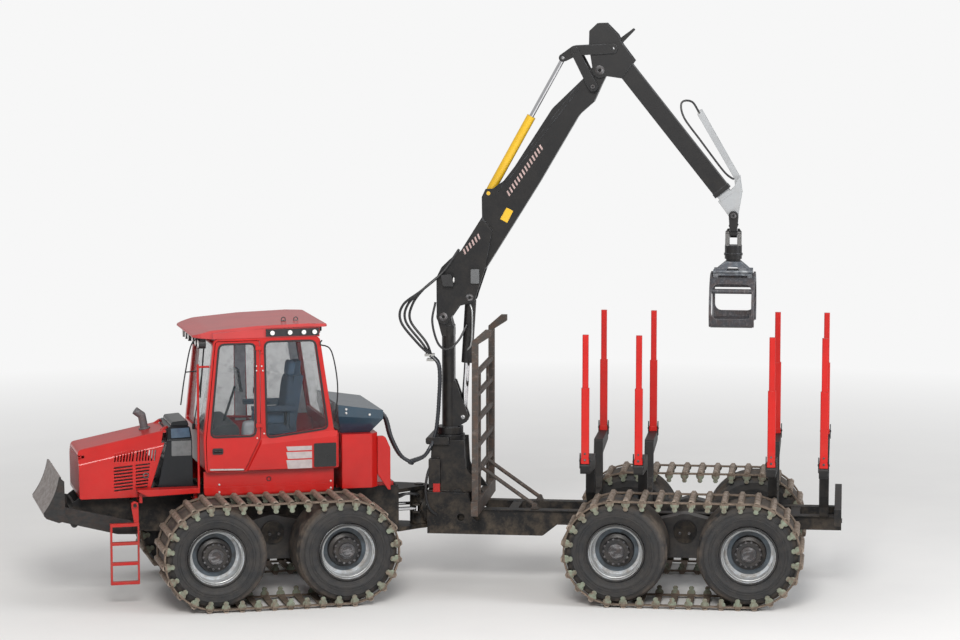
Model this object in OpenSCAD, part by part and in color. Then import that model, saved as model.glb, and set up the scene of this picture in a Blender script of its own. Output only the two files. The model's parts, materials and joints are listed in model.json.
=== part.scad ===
// Eight-wheel forestry forwarder with bogie tracks and a loading crane.
// +X is forward, +Y is left and +Z is up. The tractor points along X; the wagon is turned
// about the steering pin by the angle bend. The origin is on the ground under the whole machine's middle.

/* [Machine] */
// Angle between tractor and wagon as it stands
bend = 21; // [0:1:30]
// Steering pin to the front bogie's pivot
front_bogie_x = 2110; // [2080:5:2140]
// Steering pin to the rear bogie's pivot
rear_bogie_x = 3590; // [3560:5:3620]

/* [Wheels] */
// Outside radius of a tyre
tyre_r = 655; // [645:1:665]
// Width of a tyre
tyre_w = 704; // [680:2:710]
// Radius of the rim's bead seat
rim_r = 336; // [325:1:345]
// Half the distance between a bogie's two axles
bogie_half = 845; // [830:5:860]
// Middle of a tyre from the machine's middle
wheel_y = 1145; // [1140:1:1155]
// Height of the bogie's pivot over its wheel centres
pivot_up = 160; // [120:5:180]

/* [Tracks] */
// Thickness of the track's shoes and links
shoe_t = 18; // [14:1:22]
// Height of the lug on a shoe
lug_h = 32; // [24:1:40]
// Number of shoes on one track
shoes = 36; // [30:1:38]
// Width of a row of links
link_w = 70; // [50:5:90]
// Width of a track
track_w = 790; // [760:5:800]

/* [Tractor frame] */
// Outside faces of the frame's side plates, from the middle
frame_y = 345; // [330:5:360]
// Height of the frame's top edge
frame_top = 1350; // [1340:2:1360]
// Thickness of the frame's plates
frame_t = 30; // [20:2:34]
// Radius of the bogie axle's tube
axle_r = 150; // [130:5:160]

/* [Cab] */
// Half the cab's width
cab_y = 820; // [800:5:840]
// Height of the cab's floor edge
cab_floor = 1690; // [1680:2:1700]
// Height of the cab's wall top, under the roof
cab_top = 3410; // [3390:5:3420]
// Thickness of the cab's walls and of its door
wall_t = 50; // [40:2:60]
// Gap round the door
door_gap = 8; // [6:1:12]

/* [Hood] */
// Half the hood's width
hood_y = 550; // [530:5:560]
// Thickness of the hood's walls
hood_t = 30; // [20:2:40]

/* [Wagon] */
// Length of the wagon's frame behind the steering pin
wagon_len = 5600; // [5560:10:5640]
// Outside faces of the wagon's beams, from the middle
beam_y = 380; // [360:5:400]
// Height of the wagon's deck
deck_z = 1050; // [1030:5:1060]
// Half the length of a bunk
bunk_y = 1500; // [1480:5:1520]
// Height of the bunk arms' top, where the stakes stand
bunk_z = 1850; // [1840:5:1870]
// Height of the stakes' top ends
stake_top = 3500; // [3450:10:3520]

/* [Crane] */
// Slewing axis behind the steering pin
slew_x = 420; // [410:2:430]
// Height of the boom's pivot
boom_z = 3557; // [3540:1:3570]
// Radius of the crane's pillar
pillar_r = 105; // [95:1:115]
// Distance from the crane pillar's axis to the flat behind it, which clears the lift cylinder
lift_flat = 66; // [60:1:72]
// Half the width of the boom's box section
boom_y = 95; // [85:1:97]
// Radius of the lift cylinder
lift_r = 75; // [65:1:80]
// Radius of the arm cylinder
armcyl_r = 60; // [50:1:64]

/* [Hidden] */
$fn = 48;

// Small gap between seated pieces, and running clearance of a pin in its bore
seat_gap = 0.3;
run = 0.06;
// Clearance between pieces that move past each other
clear = 6;

// Wheel and track heights: the lug tips stand on the ground
track_r = tyre_r + seat_gap + shoe_t + lug_h;
wheel_z = track_r;
pivot_z = wheel_z + pivot_up;
stub_r = 110;
beam_in = 500;
beam_out = 720;

// Whole machine's middle, so that the origin lies under it
blade_tip_x = 5050;
bumper_y = 1000;
bunk_t = 120;
bunk_xs = [2350, 3030, 4710, 5370];
stake_y = 1450;
cheek_x = 70;
cheek_y = 42;
x_rear = -max(
    wagon_len * cos(bend) + bumper_y * sin(bend),
    (bunk_xs[3] + bunk_t / 2) * cos(bend) + bunk_y * sin(bend),
    (bunk_xs[3] + cheek_x) * cos(bend) + (stake_y + cheek_y) * sin(bend)
);
y_left = (bunk_xs[3] + bunk_t / 2) * sin(bend) + bunk_y * cos(bend);
mid_x = (blade_tip_x + x_rear) / 2;
mid_y = (y_left - wheel_y - track_w / 2) / 2;

// Steering joint
steer_pin_r = 60;
clevis_t = 50;
clevis_z = [720, 1240];
roll_z = 1005;
roll_r = 90;
ear_y = 205;
steer_base = [960, 235];
steer_z = 1005;
steer_barrel_r = 45;
steer_rod_r = 25;

// Crane pins in the wagon's side view, X and Z
pivot_p = [-354, boom_z];
lift_top = [-702, boom_z + 260];
lift_low = [-605, boom_z - 1341];
armcyl_base = [-945, boom_z + 1633];
rod_eye = [-1925, boom_z + 3408];
link_pin = [-2080, boom_z + 3501];
strut_pin = [-2319, boom_z + 3037];
elbow = [-2405, boom_z + 3249];
arm_pin = [-2576, boom_z + 3530];
tip_pin = [-4153, boom_z + 1368];
cross_z = tip_pin[1] - 235;
rotator_low = cross_z - 363;
jaw_pin = [95, rotator_low - 207];

// Blade, hood, ladder and door pivots in the tractor's side view
blade_pin = [3860, 980];
blade_base = [3900, 1285];
blade_eye = [4560, 1000];
hood_pin = [3415, 2232];
ladder_pin = [3900, 1310];
door_pin = [2262, cab_y + 16];

// Puts the tractor's frame, and everything else, over the ground point under the machine's middle
module place() {
    translate([-mid_x, -mid_y, 0]) children();
}

// Turns the wagon about the steering pin
module wagon() {
    place() rotate([0, 0, -bend]) children();
}

// Extrudes an outline drawn in X and Z, from y0 to y1
module side(y0, y1) {
    translate([0, y1, 0]) rotate([90, 0, 0]) linear_extrude(y1 - y0) children();
}

// Extrudes an outline drawn in Y and Z, from x0 to x1
module across(x0, x1) {
    translate([x0, 0, 0]) rotate([90, 0, 90]) linear_extrude(x1 - x0) children();
}

// A round bar along Y
module bar_y(r, y0, y1) {
    translate([0, y0, 0]) rotate([-90, 0, 0]) cylinder(r = r, h = y1 - y0);
}

// A round bar along X
module bar_x(r, x0, x1) {
    translate([x0, 0, 0]) rotate([0, 90, 0]) cylinder(r = r, h = x1 - x0);
}

// A pair of side plates with outer faces at y, in an outline drawn in X and Z
module plates(y, t) {
    side(y - t, y) children();
    side(-y, -y + t) children();
}

// The same piece on both sides of the middle
module both() {
    children();
    mirror([0, 1, 0]) children();
}

// A box given by its low and high corners
module box(a, b) {
    translate(a) cube(b - a);
}

// Places a piece at a point of the side view
module at(p) {
    translate([p[0], 0, p[1]]) children();
}

// An outline moved inwards by d; its points run anticlockwise
function edge_normal(p, i) = let (e = p[(i + 1) % len(p)] - p[i % len(p)]) [-e[1], e[0]] / norm(e);
function inset(p, d) = [
    for (i = [0:len(p) - 1])
        let (a = edge_normal(p, i + len(p) - 1), b = edge_normal(p, i))
        p[i] + d * (a + b) / (1 + a * b)
];

// An outline with its corners rounded to the radius r, or to one radius a corner.
// Its points run anticlockwise
function rounded(p, r, n = 3) = [
    for (i = [0:len(p) - 1])
        let (
            a = p[(i + len(p) - 1) % len(p)] - p[i],
            b = p[(i + 1) % len(p)] - p[i],
            u = a / norm(a),
            v = b / norm(b),
            half = acos(max(-1, min(1, u * v))) / 2,
            k = min(is_list(r) ? r[i] : r, min(norm(a), norm(b)) * 0.48 * tan(half)),
            turn = 180 - 2 * half,
            round = k > 0 && turn > 5,
            c = p[i] + (u + v) / max(norm(u + v), 0.001) * k / sin(half),
            from = p[i] + u * k / tan(half) - c,
            to = p[i] + v * k / tan(half) - c
        )
        for (j = [0:(round ? n : 0)])
            round ? c + (from * sin(turn * (1 - j / n)) + to * sin(turn * j / n)) / sin(turn) : p[i]
];

// A rectangle's outline from its low and high corners
function rect(a, b) = [a, [b[0], a[1]], b, [a[0], b[1]]];

// A cylinder's barrel from the origin along +X, with an eye at the origin
module barrel(r, rod_r, length, eye_r, eye_y, pin_r) {
    difference() {
        union() {
            bar_x(r, eye_r * 0.8, length);
            bar_y(eye_r, -eye_y, eye_y);
        }
        if (pin_r > 0) bar_y(pin_r, -eye_y - 1, eye_y + 1);
        translate([eye_r + 40, 0, 0]) bar_x(rod_r + run, 0, length);
    }
}

// A cylinder's rod that ends in an eye at the origin and runs along -X
module rod(r, length, eye_r, eye_y, pin_r) {
    difference() {
        union() {
            bar_x(r, -length, -eye_r * 0.6);
            bar_y(eye_r, -eye_y, eye_y);
        }
        bar_y(pin_r, -eye_y - 1, eye_y + 1);
    }
}

// Turns a piece drawn along +X so that it points from a to b in the side view
module aim(a, b) {
    d = b - a;
    at(a) rotate([0, -atan2(d[1], d[0]), 0]) children();
}

// TRACTOR

frame_side = [
    [350, clevis_z[0]], [560, clevis_z[0]], [760, 880], [1620, 880], [1770, 700], [2450, 700], [2600, 880],
    [3700, 880], [4020, 1040],
    [4640, 1160], [4640, 1290], [4560, frame_top], [350, frame_top]
];

// Bogie axle's tube with its stubs and their retaining rings
module axle() {
    bar_y(axle_r, -beam_in + clear, beam_in - clear);
    bar_y(stub_r, -beam_out - 30, beam_out + 30);
    both() bar_y(stub_r + 40, beam_out + clear, beam_out + 30);
}

// Side plates, cross-members, axle, steering clevis and cab posts, as one welded frame
module front_frame() {
    inner = frame_y - frame_t;
    color([0.06, 0.06, 0.065]) place() difference() {
        union() {
            plates(frame_y, frame_t) polygon(rounded(frame_side, 45));
            box([350, -inner, 1120], [380, inner, frame_top]);
            box([1000, -inner, 900], [1030, inner, 1200]);
            box([3640, -inner, 930], [3670, inner, 1100]);
            box([3815, -inner, 1050], [3845, inner, 1340]);
            box([4610, -inner, 1160], [4640, inner, 1290]);
            at([front_bogie_x, pivot_z]) axle();
            for (z = clevis_z) translate([0, 0, z]) linear_extrude(clevis_t) {
                circle(r = 130);
                polygon([[0, -130], [352, -inner - 1], [352, inner + 1], [0, 130]]);
            }
            // Cheeks that hold the steering cylinders
            for (s = [-1, 1], z = [steer_z - 72, steer_z + 52])
                box([steer_base[0] - 55, s * steer_base[1] - 45, z],
                    [1001, s * steer_base[1] + 45, z + 20]);
            // Blade pivot tube
            at(blade_pin) bar_y(62, -560, 560);
            at(blade_pin) bar_y(45, -635, 635);
            // Ladder's bar
            at(ladder_pin) bar_y(22, frame_y - 1, 842);
            box([3800, -frame_y, 940], [3920, frame_y, 1060]);
            // Blade cylinder cheeks
            plates(70, 20) polygon([[3840, 1230], [3930, 1240], [3945, 1290], [3930, 1330], [3840, 1335]]);
            // Cab posts
            for (x = [1500, 2760], s = [-1, 1]) box([x - 60, s * 280 - 60, frame_top - 60],
                [x + 60, s * 280 + 60, cab_floor - seat_gap]);
        }
        for (z = clevis_z) translate([0, 0, z - 1]) cylinder(r = steer_pin_r + run, h = clevis_t + 2);
        for (s = [-1, 1]) translate([steer_base[0], s * steer_base[1], steer_z - 73])
            cylinder(r = 20 + run, h = 146);
        at(blade_base) bar_y(22 + run, -71, 71);
        for (x = [1250, 2900, 3200]) at([x, 1150]) bar_y(60, -frame_y - 1, frame_y + 1);
    }
}

// The engine and its gearbox as one plain block
module engine() {
    color([0.2, 0.2, 0.2]) place() box([3590, -290, frame_top + seat_gap], [4350, 290, 1800]);
}

cab_side = [
    [1250, cab_floor], [2990, cab_floor], [3010, 2130], [2868, cab_top], [1490, cab_top],
    [1310, 2190], [1250, 2150]
];
cab_corner_rs = [30, 50, 400, 60, 50, 60, 30];
door_low = 1704;
door_corner_r = 28;
window_r = 50;
hip_t = 38;
hip_side = [[1262, cab_floor + 8], [2458, cab_floor + 8], [2256, 2108], [1262, 2186]];
hip_face = [[1275, cab_floor + 20], [2440, cab_floor + 20], [2268, 2040], [1275, 2118]];
door_side = [
    [2480, door_low], [2962, door_low], [2972, 2110], [2840, cab_top - 34], [2275, cab_top - 34],
    [2275, 2120]
];
door_glass_side = [[2345, 2160], [2902, 2160], [2786, 3330], [2345, 3330]];
left_glass_side = [[1400, 2225], [2175, 2130], [2195, 3350], [1562, 3350]];

module cab_solid(d) {
    side(-cab_y + d, cab_y - d)
        polygon(rounded(inset(cab_side, d), [for (r = cab_corner_rs) max(r - d, 6)]));
}

// Window openings of the fixed panes, each a little larger than its pane by g
module cab_windows(g) {
    both() side(cab_y - wall_t - 5, cab_y + 5) polygon(rounded(inset(left_glass_side, -g), window_r));
    side(-cab_y - 5, -cab_y + wall_t + 5) polygon(rounded(inset(door_glass_side, -g), window_r));
    across(2700, 3100) polygon(rounded(rect([-cab_y + 90 - g, 2180 - g],
        [cab_y - 90 + g, 3330 + g]), window_r));
    across(1200, 1700) polygon(rounded(rect([-cab_y + 90 - g, 2300 - g],
        [cab_y - 90 + g, 3330 + g]), window_r));
}

// Hollow cab with its door opening on the left
module cab_shell() {
    color([0.75, 0.05, 0.05]) place() difference() {
        union() {
            cab_solid(0);
            // Rear side panels, which stand proud of the glass and lean in at their edges
            both() hull() {
                side(cab_y - 1, cab_y) polygon(hip_side);
                side(cab_y, cab_y + hip_t) polygon(hip_face);
            }
        }
        cab_solid(wall_t);
        cab_windows(0);
        side(cab_y - wall_t - 5, cab_y + 5)
            polygon(rounded(inset(door_side, -door_gap), door_corner_r + door_gap));
    }
    // Hinge brackets with their pins
    color([0.75, 0.05, 0.05]) place() for (z = hinge_zs) {
        box([door_pin[0] - 30, cab_y - 5, z - 34], [door_pin[0] + 5, door_pin[1] + 10, z - 5]);
        translate([door_pin[0], door_pin[1], z - 10]) cylinder(r = 5, h = 75);
    }
}

pane_t = 10;
hinge_zs = [2250, 3250];

// Fixed panes, set in the middle of the walls' thickness
module cab_glass() {
    color([0.3, 0.4, 0.45, 0.4]) place() intersection() {
        difference() {
            cab_solid(wall_t / 2 - pane_t / 2);
            cab_solid(wall_t / 2 + pane_t / 2);
        }
        cab_windows(-seat_gap);
    }
}

roof_base_y = cab_y - 12;
visor_y = cab_y + 28;
visor_side = [
    [2880, cab_top + seat_gap], [3130, cab_top + 22], [3120, cab_top + 48], [2900, cab_top + 112],
    [2300, cab_top + 160],
    [1640, cab_top + 178], [1400, cab_top + 168], [1385, cab_top + 128], [1640, cab_top + 136],
    [2300, cab_top + 118],
    [2880, cab_top + 70]
];

// Thin visor roof that overhangs its base on the cab
module cab_roof() {
    color([0.75, 0.05, 0.05]) place() {
        side(-roof_base_y, roof_base_y) polygon([
            [1490, cab_top + seat_gap], [2881, cab_top + seat_gap], [2881, cab_top + 75],
            [2300, cab_top + 119],
            [1640, cab_top + 137], [1490, cab_top + 133]
        ]);
        intersection() {
            side(-visor_y, visor_y) polygon(rounded(visor_side, [0, 8, 20, 300, 300, 200, 18, 10, 0, 0,
                0]));
            translate([0, 0, cab_top]) linear_extrude(250)
                polygon(rounded([[1380, -visor_y], [3136, -visor_y + 70], [3136, visor_y - 70],
                    [1380, visor_y]], [90, 170, 170, 90], 5));
        }
    }
}

// Seat on its post, with the armrest consoles
module seat() {
    floor_z = cab_floor + wall_t + seat_gap;
    color([0.2, 0.25, 0.3]) place() {
        translate([1950, 0, floor_z]) cylinder(r = 120, h = 2080 - floor_z);
        box([1700, -270, 2080], [2230, 270, 2210]);
        side(-250, 250) polygon([[1700, 2200], [1830, 2200], [1720, 2830], [1600, 2830]]);
        side(-130, 130) polygon([[1625, 2830], [1695, 2830], [1680, 3010], [1610, 3010]]);
        both() box([1740, 270, 2160], [1800, 330, 2400]);
        both() box([1740, 290, 2400], [2300, 400, 2460]);
    }
}

hood_hinge_ys = [-330, 300];

// A box section in Y and Z with its top edges cut off by the hood's chamfer
function top_chamfered(y, low, high) = [
    [-y, low], [y, low], [y, high - 155], [y - 150, high], [-y + 150, high], [-y, high - 155]
];

// Black cowl between hood and cab, with the hood's hinge brackets and pins
module cowl() {
    color([0.04, 0.04, 0.045]) place() {
        difference() {
            intersection() {
                side(-hood_y, hood_y) polygon(rounded([
                    [3110, frame_top + seat_gap], [3560, frame_top + seat_gap], [3560, 1500], [3412, 2222],
                    [3380, 2250], [3120, 2250]
                ], [0, 0, 60, 0, 0, 40]));
                across(3100, 3570)
                    polygon(rounded(top_chamfered(hood_y, 1300, 2250), [0, 0, 50, 50, 50, 50]));
            }
            // Room for the hood's hinge ears
            for (y = hood_hinge_ys, dy = [-19, 30]) at(hood_pin) bar_y(21, y + dy, y + dy + 19);
        }
        for (y = hood_hinge_ys) {
            side(y, y + 30) polygon([[3365, 2200], [3400, 2180], [3428, 2224], [3424, 2244], [3405, 2247]]);
            side(y, y + 30) translate(hood_pin) circle(r = 16);
            at(hood_pin) bar_y(8, y - 14, y + 44);
        }
    }
}

skirt_y = 735;
// Red panels under the cab, inside the tracks
module side_skirts() {
    color([0.75, 0.05, 0.05]) place() both() side(skirt_y - 15, skirt_y)
        polygon(rounded(rect([1300, 1375], [3000, cab_floor - seat_gap]), [50, 50, 0, 0]));
}

// Dark folded-plate box behind the cab
module rear_box() {
    color([0.1, 0.14, 0.2]) place() hull() {
        side(-skirt_y, skirt_y) polygon([[640, 2300], [1235, 2350], [1235, 2500], [640, 2410]]);
        side(-600, 600) polygon(rect([790, 2110], [1180, 2130]));
    }
}

// Red tank and rear guard
module rear_tank() {
    color([0.75, 0.05, 0.05]) place() {
        translate([0, 0, 1400]) linear_extrude(710 - seat_gap)
            polygon(rounded([[700, -skirt_y + 90], [790, -skirt_y], [1190, -skirt_y], [1190, skirt_y],
                [790, skirt_y], [700, skirt_y - 90]], [30, 30, 12, 12, 30, 30]));
        both() side(skirt_y - 130, skirt_y - 70) polygon(rounded([[530, 1350], [560, 1350], [701, 1560],
            [701, 2060], [600, 2060], [530, 1900]], [0, 10, 60, 0, 50, 80]));
        box([420, -330, frame_top + seat_gap], [1190, 330, 1401]);
    }
}

// Red tray in front of the cab on the left, with its handrail
module step_tray() {
    color([0.75, 0.05, 0.05]) place() {
        side(hood_y + 8, skirt_y) polygon([[3050, 1420], [3720, 1400], [3850, 1470], [3850, 1485],
            [3050, 1485]]);
        for (x = [3068, 3780]) {
            box([x, frame_y + seat_gap, 1305], [x + 40, hood_y + 90, 1340]);
            box([x, hood_y + 50, 1339], [x + 40, hood_y + 90, 1430]);
        }
        translate([3060, skirt_y - 20, 1485]) cylinder(r = 16, h = 1600);
        translate([0, skirt_y - 20, 3050]) bar_x(14, 2910.5, 3060);
    }
}

// Lamps under the roof's overhang
module work_lamps() {
    color([0.08, 0.08, 0.08]) place() {
        for (y = [-660, -420, -180, 180, 420, 660]) {
            box([2960, y - 45, cab_top - 30], [3020, y + 45, cab_top + 7]);
            translate([0, y, cab_top - 68]) bar_x(62, 2950, 3045);
        }
        // Strips with round lamps along the roof's rear and its rear sides
        box([1440, -600, cab_top + 25], [1490 - seat_gap, 600, cab_top + 118]);
        for (y = [-480, -180, 180, 480]) translate([0, y, cab_top + 72]) bar_x(40, 1405, 1441);
        both() {
            box([1500, roof_base_y + seat_gap, cab_top + 20], [2190, cab_y + 10, cab_top + 112]);
            for (x = [1560, 1700, 1880, 2110]) at([x, cab_top + 66]) bar_y(38, cab_y + 9, cab_y + 26);
        }
    }
}

hood_slope = atan(230 / 1165);
hood_side = [[3695, 1366], [4572, 1366], [4580, 1980], [3428, 2207]];

// The hood's outer form, moved inwards by d, with its top edges chamfered along the slope
module hood_solid(d) {
    intersection() {
        side(-hood_y + d, hood_y - d) polygon(rounded(inset(hood_side, d), [10, 20, 65, 10]));
        translate([4580, 0, 1980]) rotate([0, hood_slope, 0]) across(-1400, 200) polygon(rounded([
            [-hood_y + d, -900], [hood_y - d, -900], [hood_y - d, -165 - d * 0.4],
            [hood_y - 150 - d * 0.4, -d],
            [-hood_y + 150 + d * 0.4, -d], [-hood_y + d, -165 - d * 0.4]
        ], [0, 0, 50, 50, 50, 50]));
    }
}

// Hood shell with its side vents
module hood() {
    color([0.75, 0.05, 0.05]) place() difference() {
        union() {
            hood_solid(0);
            for (y = hood_hinge_ys, dy = [-14, 31]) side(y + dy, y + dy + 13) {
                translate(hood_pin) circle(r = 16);
                polygon([[3417, 2218], [3440, 2202], [3500, 2186], [3500, 2196], [3422, 2246]]);
            }
        }
        hood_solid(hood_t);
        // Open underside, rear and grille opening
        box([3600, -hood_y + hood_t, 1300], [4540, hood_y - hood_t, 1400]);
        box([4500, -hood_y + 60, 1420], [4600, hood_y - 60, 1920]);
        side(-hood_y + hood_t, hood_y - hood_t) polygon([[3300, 2175], [3475, 2175], [3735, 1355],
            [3735, 1300], [3300, 1300]]);
        at(hood_pin) bar_y(8 + run, -hood_y, hood_y);
        // Two groups of level louvres low on each side
        for (i = [0:7]) {
            both() side(hood_y - hood_t - 1, hood_y + 1) {
                polygon([[3890, 1470 + 42 * i], [4130, 1450 + 42 * i], [4130, 1472 + 42 * i],
                    [3890, 1492 + 42 * i]]);
                polygon([
                    [3700 - 5 * i, 1490 + 42 * i], [3850, 1474 + 42 * i], [3850, 1496 + 42 * i],
                    [3700 - 5 * i, 1512 + 42 * i]
                ]);
            }
        }
        // Two groups of slanted louvres above them
        for (i = [0:6], x = [3880, 3600]) {
            both() side(hood_y - hood_t - 1, hood_y + 1)
                polygon([[x + 38 * i, 1835], [x + 38 * i + 18, 1832], [x + 38 * i, 1975],
                    [x + 38 * i - 18, 1978]]);
        }
    }
}

// Level slats across the hood's nose
module grille() {
    color([0.75, 0.05, 0.05]) place() {
        for (i = [0:18]) box([4545, -hood_y + 60.5, 1424 + 26 * i], [4578, hood_y - 60.5, 1436 + 26 * i]);
        for (y = [-hood_y + 61, -8, hood_y - 77]) box([4535, y, 1421], [4548, y + 16, 1919]);
    }
}

// Exhaust with its bent tail, standing on the hood
module exhaust() {
    color([0.25, 0.25, 0.27]) place() translate([3650, -60, 1980 + 930 * tan(hood_slope)])
        rotate([0, hood_slope, 0]) {
        translate([0, 0, seat_gap]) cylinder(r = 75, h = 14);
        translate([0, 0, 10]) cylinder(r = 52, h = 170);
        translate([0, 0, 180]) sphere(r = 52);
        translate([0, 0, 180]) rotate([0, 42, 0]) cylinder(r = 51.5, h = 110);
    }
}

// CAB DOOR

module cab_door() {
    color([0.75, 0.05, 0.05]) place() difference() {
        union() {
            side(cab_y - wall_t, cab_y) polygon(rounded(door_side, door_corner_r));
            for (z = hinge_zs) {
                translate([door_pin[0], door_pin[1], z]) cylinder(r = 10, h = 70);
                box([door_pin[0], door_pin[1] - 4, z + 10], [2330, door_pin[1] + 8, z + 60]);
                box([2290, cab_y - 2, z + 10], [2330, door_pin[1] + 8, z + 60]);
            }
        }
        side(cab_y - wall_t - 5, cab_y + 5) polygon(rounded(door_glass_side, window_r));
        for (z = hinge_zs) translate([door_pin[0], door_pin[1], z - 1]) cylinder(r = 5 + run, h = 72);
    }
}

module door_glass() {
    color([0.3, 0.4, 0.45, 0.4]) place()
        side(cab_y - wall_t / 2 - pane_t / 2, cab_y - wall_t / 2 + pane_t / 2)
            polygon(rounded(inset(door_glass_side, seat_gap), window_r));
}

// BLADE

blade_y = 750;
blade_r = 1000;
blade_t = 26;
blade_centre = [5838, 1856];
blade_ends = [218, 189];
function on_blade(r, a) = blade_centre + r * [cos(a), sin(a)];
function blade_arc(r, a, b, n = 10) = [for (i = [0:n]) on_blade(r, a + (b - a) * i / n)];

// Curved plate with its end plates and the two arms
module blade() {
    color([0.12, 0.12, 0.12]) place() difference() {
        union() {
            side(-blade_y, blade_y) {
                polygon(concat(
                    blade_arc(blade_r, blade_ends[0], blade_ends[1]),
                    blade_arc(blade_r + blade_t, blade_ends[1], blade_ends[0])
                ));
                polygon([on_blade(blade_r, blade_ends[0]), [4992, 1238], [5020, 1170], [5044, 1200]]);
            }
            plates(blade_y, 20) polygon(concat(
                blade_arc(blade_r + 2, blade_ends[0], blade_ends[1], 6), [[4786, 1640], [4776, 1130],
                    [4860, 1110], [5020, 1170]]
            ));
            // Ribs behind the plate
            for (y = [-300, 0, 300]) side(y - 10, y + 10) polygon([
                [4846, 1140], [4990, 1236],
                on_blade(blade_r + 10, 205), on_blade(blade_r + 10, 195), [4846, 1500]
            ]);
            plates(620, 45) polygon([
                [blade_pin[0] - 60, 960], [blade_pin[0], 900], [4100, 910], [4860, 1110], [4990, 1236],
                on_blade(blade_r + 10, 205), [4790, 1290], [4200, 1150], [blade_pin[0], 1060]
            ]);
            box([4780, -620, 1130], [4850, 620, 1290]);
            // Cross-tube with the cylinder's cheeks
            at([4650, 1060]) bar_y(45, -600, 600);
            plates(75, 20) polygon([[4520, 985], [4550, 960], [4660, 1020], [4680, 1100], [4630, 1100],
                [4530, 1030]]);
        }
        at(blade_pin) bar_y(45 + run, -640, 640);
        at(blade_pin) bar_y(150, -570, 570);
    }
}

module blade_barrel() {
    color([0.12, 0.12, 0.12]) place() aim(blade_base, blade_eye) {
        barrel(42, 24, 520, 38, 44, 0);
        bar_y(22, -70, 70);
    }
}

module blade_rod() {
    color([0.7, 0.7, 0.72]) place() aim(blade_base, blade_eye)
        translate([norm(blade_eye - blade_base), 0, 0])
        rod(24, 560, 34, 44, 20);
}

// LADDER

module ladder() {
    y0 = 775;
    color([0.75, 0.05, 0.05]) place() difference() {
        union() {
            for (z = [290, 540, 800, 1040]) box([3850, y0, z], [4220, y0 + 60, z + 40]);
            box([3850, y0, 290], [3870, y0 + 60, 1080]);
            box([4195, y0, 290], [4220, y0 + 60, 1080]);
            side(y0, y0 + 30) polygon([[3850, 1040], [3905, 1040], [3945, 1290], [3945, 1340],
                [3855, 1340]]);
            at(ladder_pin) bar_y(45, y0, y0 + 40);
        }
        at(ladder_pin) bar_y(22 + run, y0 - 1, y0 + 61);
    }
}

// BOGIES

hub_r = 150;
disc_y = 100;
boss_r = 190;

// Outline of the bogie's beam, about its pivot's X
module beam_outline() {
    for (s = [-1, 1]) translate([s * bogie_half, wheel_z]) circle(r = boss_r);
    translate([0, pivot_z]) circle(r = 230);
    polygon([
        [-bogie_half, wheel_z - boss_r], [bogie_half, wheel_z - boss_r],
        [bogie_half + 30, wheel_z + boss_r - 3],
        [0, pivot_z + 230], [-bogie_half - 30, wheel_z + boss_r - 3]
    ]);
}

// Rim, disc and planetary hub, turned about Y, from the tyre's middle
module rim() {
    rotate([-90, 0, 0]) rotate_extrude() polygon([
        [0, -280], [hub_r - 10, -280], [hub_r - 10, disc_y - 20], [318, disc_y - 20], [318, -300],
        [362, -300], [362, -285],
        [rim_r, -285], [rim_r, 285], [362, 285], [362, 300], [322, 300], [318, disc_y], [225, disc_y],
        [215, disc_y + 50], [170, disc_y + 70], [160, disc_y + 135], [0, disc_y + 140]
    ]);
}

// Beam with its two wheels' rims and hubs, on the left side
module bogie() {
    difference() {
        union() {
            side(beam_in, beam_out) beam_outline();
            for (s = [-1, 1]) translate([s * bogie_half, 0, wheel_z]) {
                bar_y(hub_r, beam_out - 1, wheel_y - 279);
                translate([0, wheel_y, 0]) rim();
            }
        }
        at([0, pivot_z]) bar_y(stub_r + run, beam_in - 1, beam_out + 1);
    }
}

module tyres() {
    h = tyre_w / 2;
    for (s = [-1, 1]) translate([s * bogie_half, wheel_y, wheel_z]) rotate([-90, 0, 0]) rotate_extrude()
        polygon([
        [rim_r + 1, -283], [366, -283], [385, -h + 24], [470, -h], [560, -h], [625, -h + 30],
        [tyre_r, -h + 92],
        [tyre_r, h - 92], [625, h - 30], [560, h], [470, h], [385, h - 24], [366, 283], [rim_r + 1, 283]
    ]);
}

// A loop round both wheels: two half-circles of radius r joined by straight runs
module loop(r) {
    for (s = [-1, 1]) translate([s * bogie_half, 0]) circle(r = r, $fn = 60);
    translate([-bogie_half, -r]) square([2 * bogie_half, 2 * r]);
}

// Place and heading of a point at the distance s along the loop of radius r
function loop_turn(r, s) =
    let (run_len = 2 * bogie_half, arc_len = PI * r)
    s < run_len ? [-bogie_half + s, r, 0]
    : s < run_len + arc_len ? [bogie_half, 0, -(s - run_len) / r * 180 / PI]
    : s < 2 * run_len + arc_len ? [bogie_half - (s - run_len - arc_len), -r, 180]
    : [-bogie_half, 0, 180 - (s - 2 * run_len - arc_len) / r * 180 / PI];

module shoe_at(r, s) {
    p = loop_turn(r, s);
    on_arc = p[1] == 0;
    translate([p[0], on_arc ? 0 : p[1]]) rotate(p[2]) translate([0, on_arc ? r : 0]) children();
}

module shoe_row(r, loop_len) {
    for (i = [0:shoes - 1]) shoe_at(r, (i + 0.5) * loop_len / shoes) children();
}

// Track as two rows of links under full-width shoes, with a guide plate at each shoe's ends
module track() {
    inner = tyre_r + seat_gap;
    loop_len = 4 * bogie_half + 2 * PI * inner;
    y0 = wheel_y - track_w / 2;
    translate([0, 0, wheel_z]) {
        for (y = [y0 + 22, y0 + track_w - link_w - 22]) side(y, y + link_w) difference() {
            loop(inner + shoe_t);
            loop(inner);
        }
        side(y0 + 14, y0 + track_w - 14) shoe_row(inner, loop_len)
            polygon([[-44, 0.5], [44, 0.5], [44, 12], [22, shoe_t + lug_h], [-22, shoe_t + lug_h],
                [-44, 12]]);
        for (y = [y0, y0 + track_w - 16]) side(y, y + 16) shoe_row(inner, loop_len)
            polygon([[-34, shoe_t], [-26, -50], [-34, -84], [-16, -104], [16, -104], [34, -84], [26, -50],
                [34, shoe_t]]);
    }
}

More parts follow.
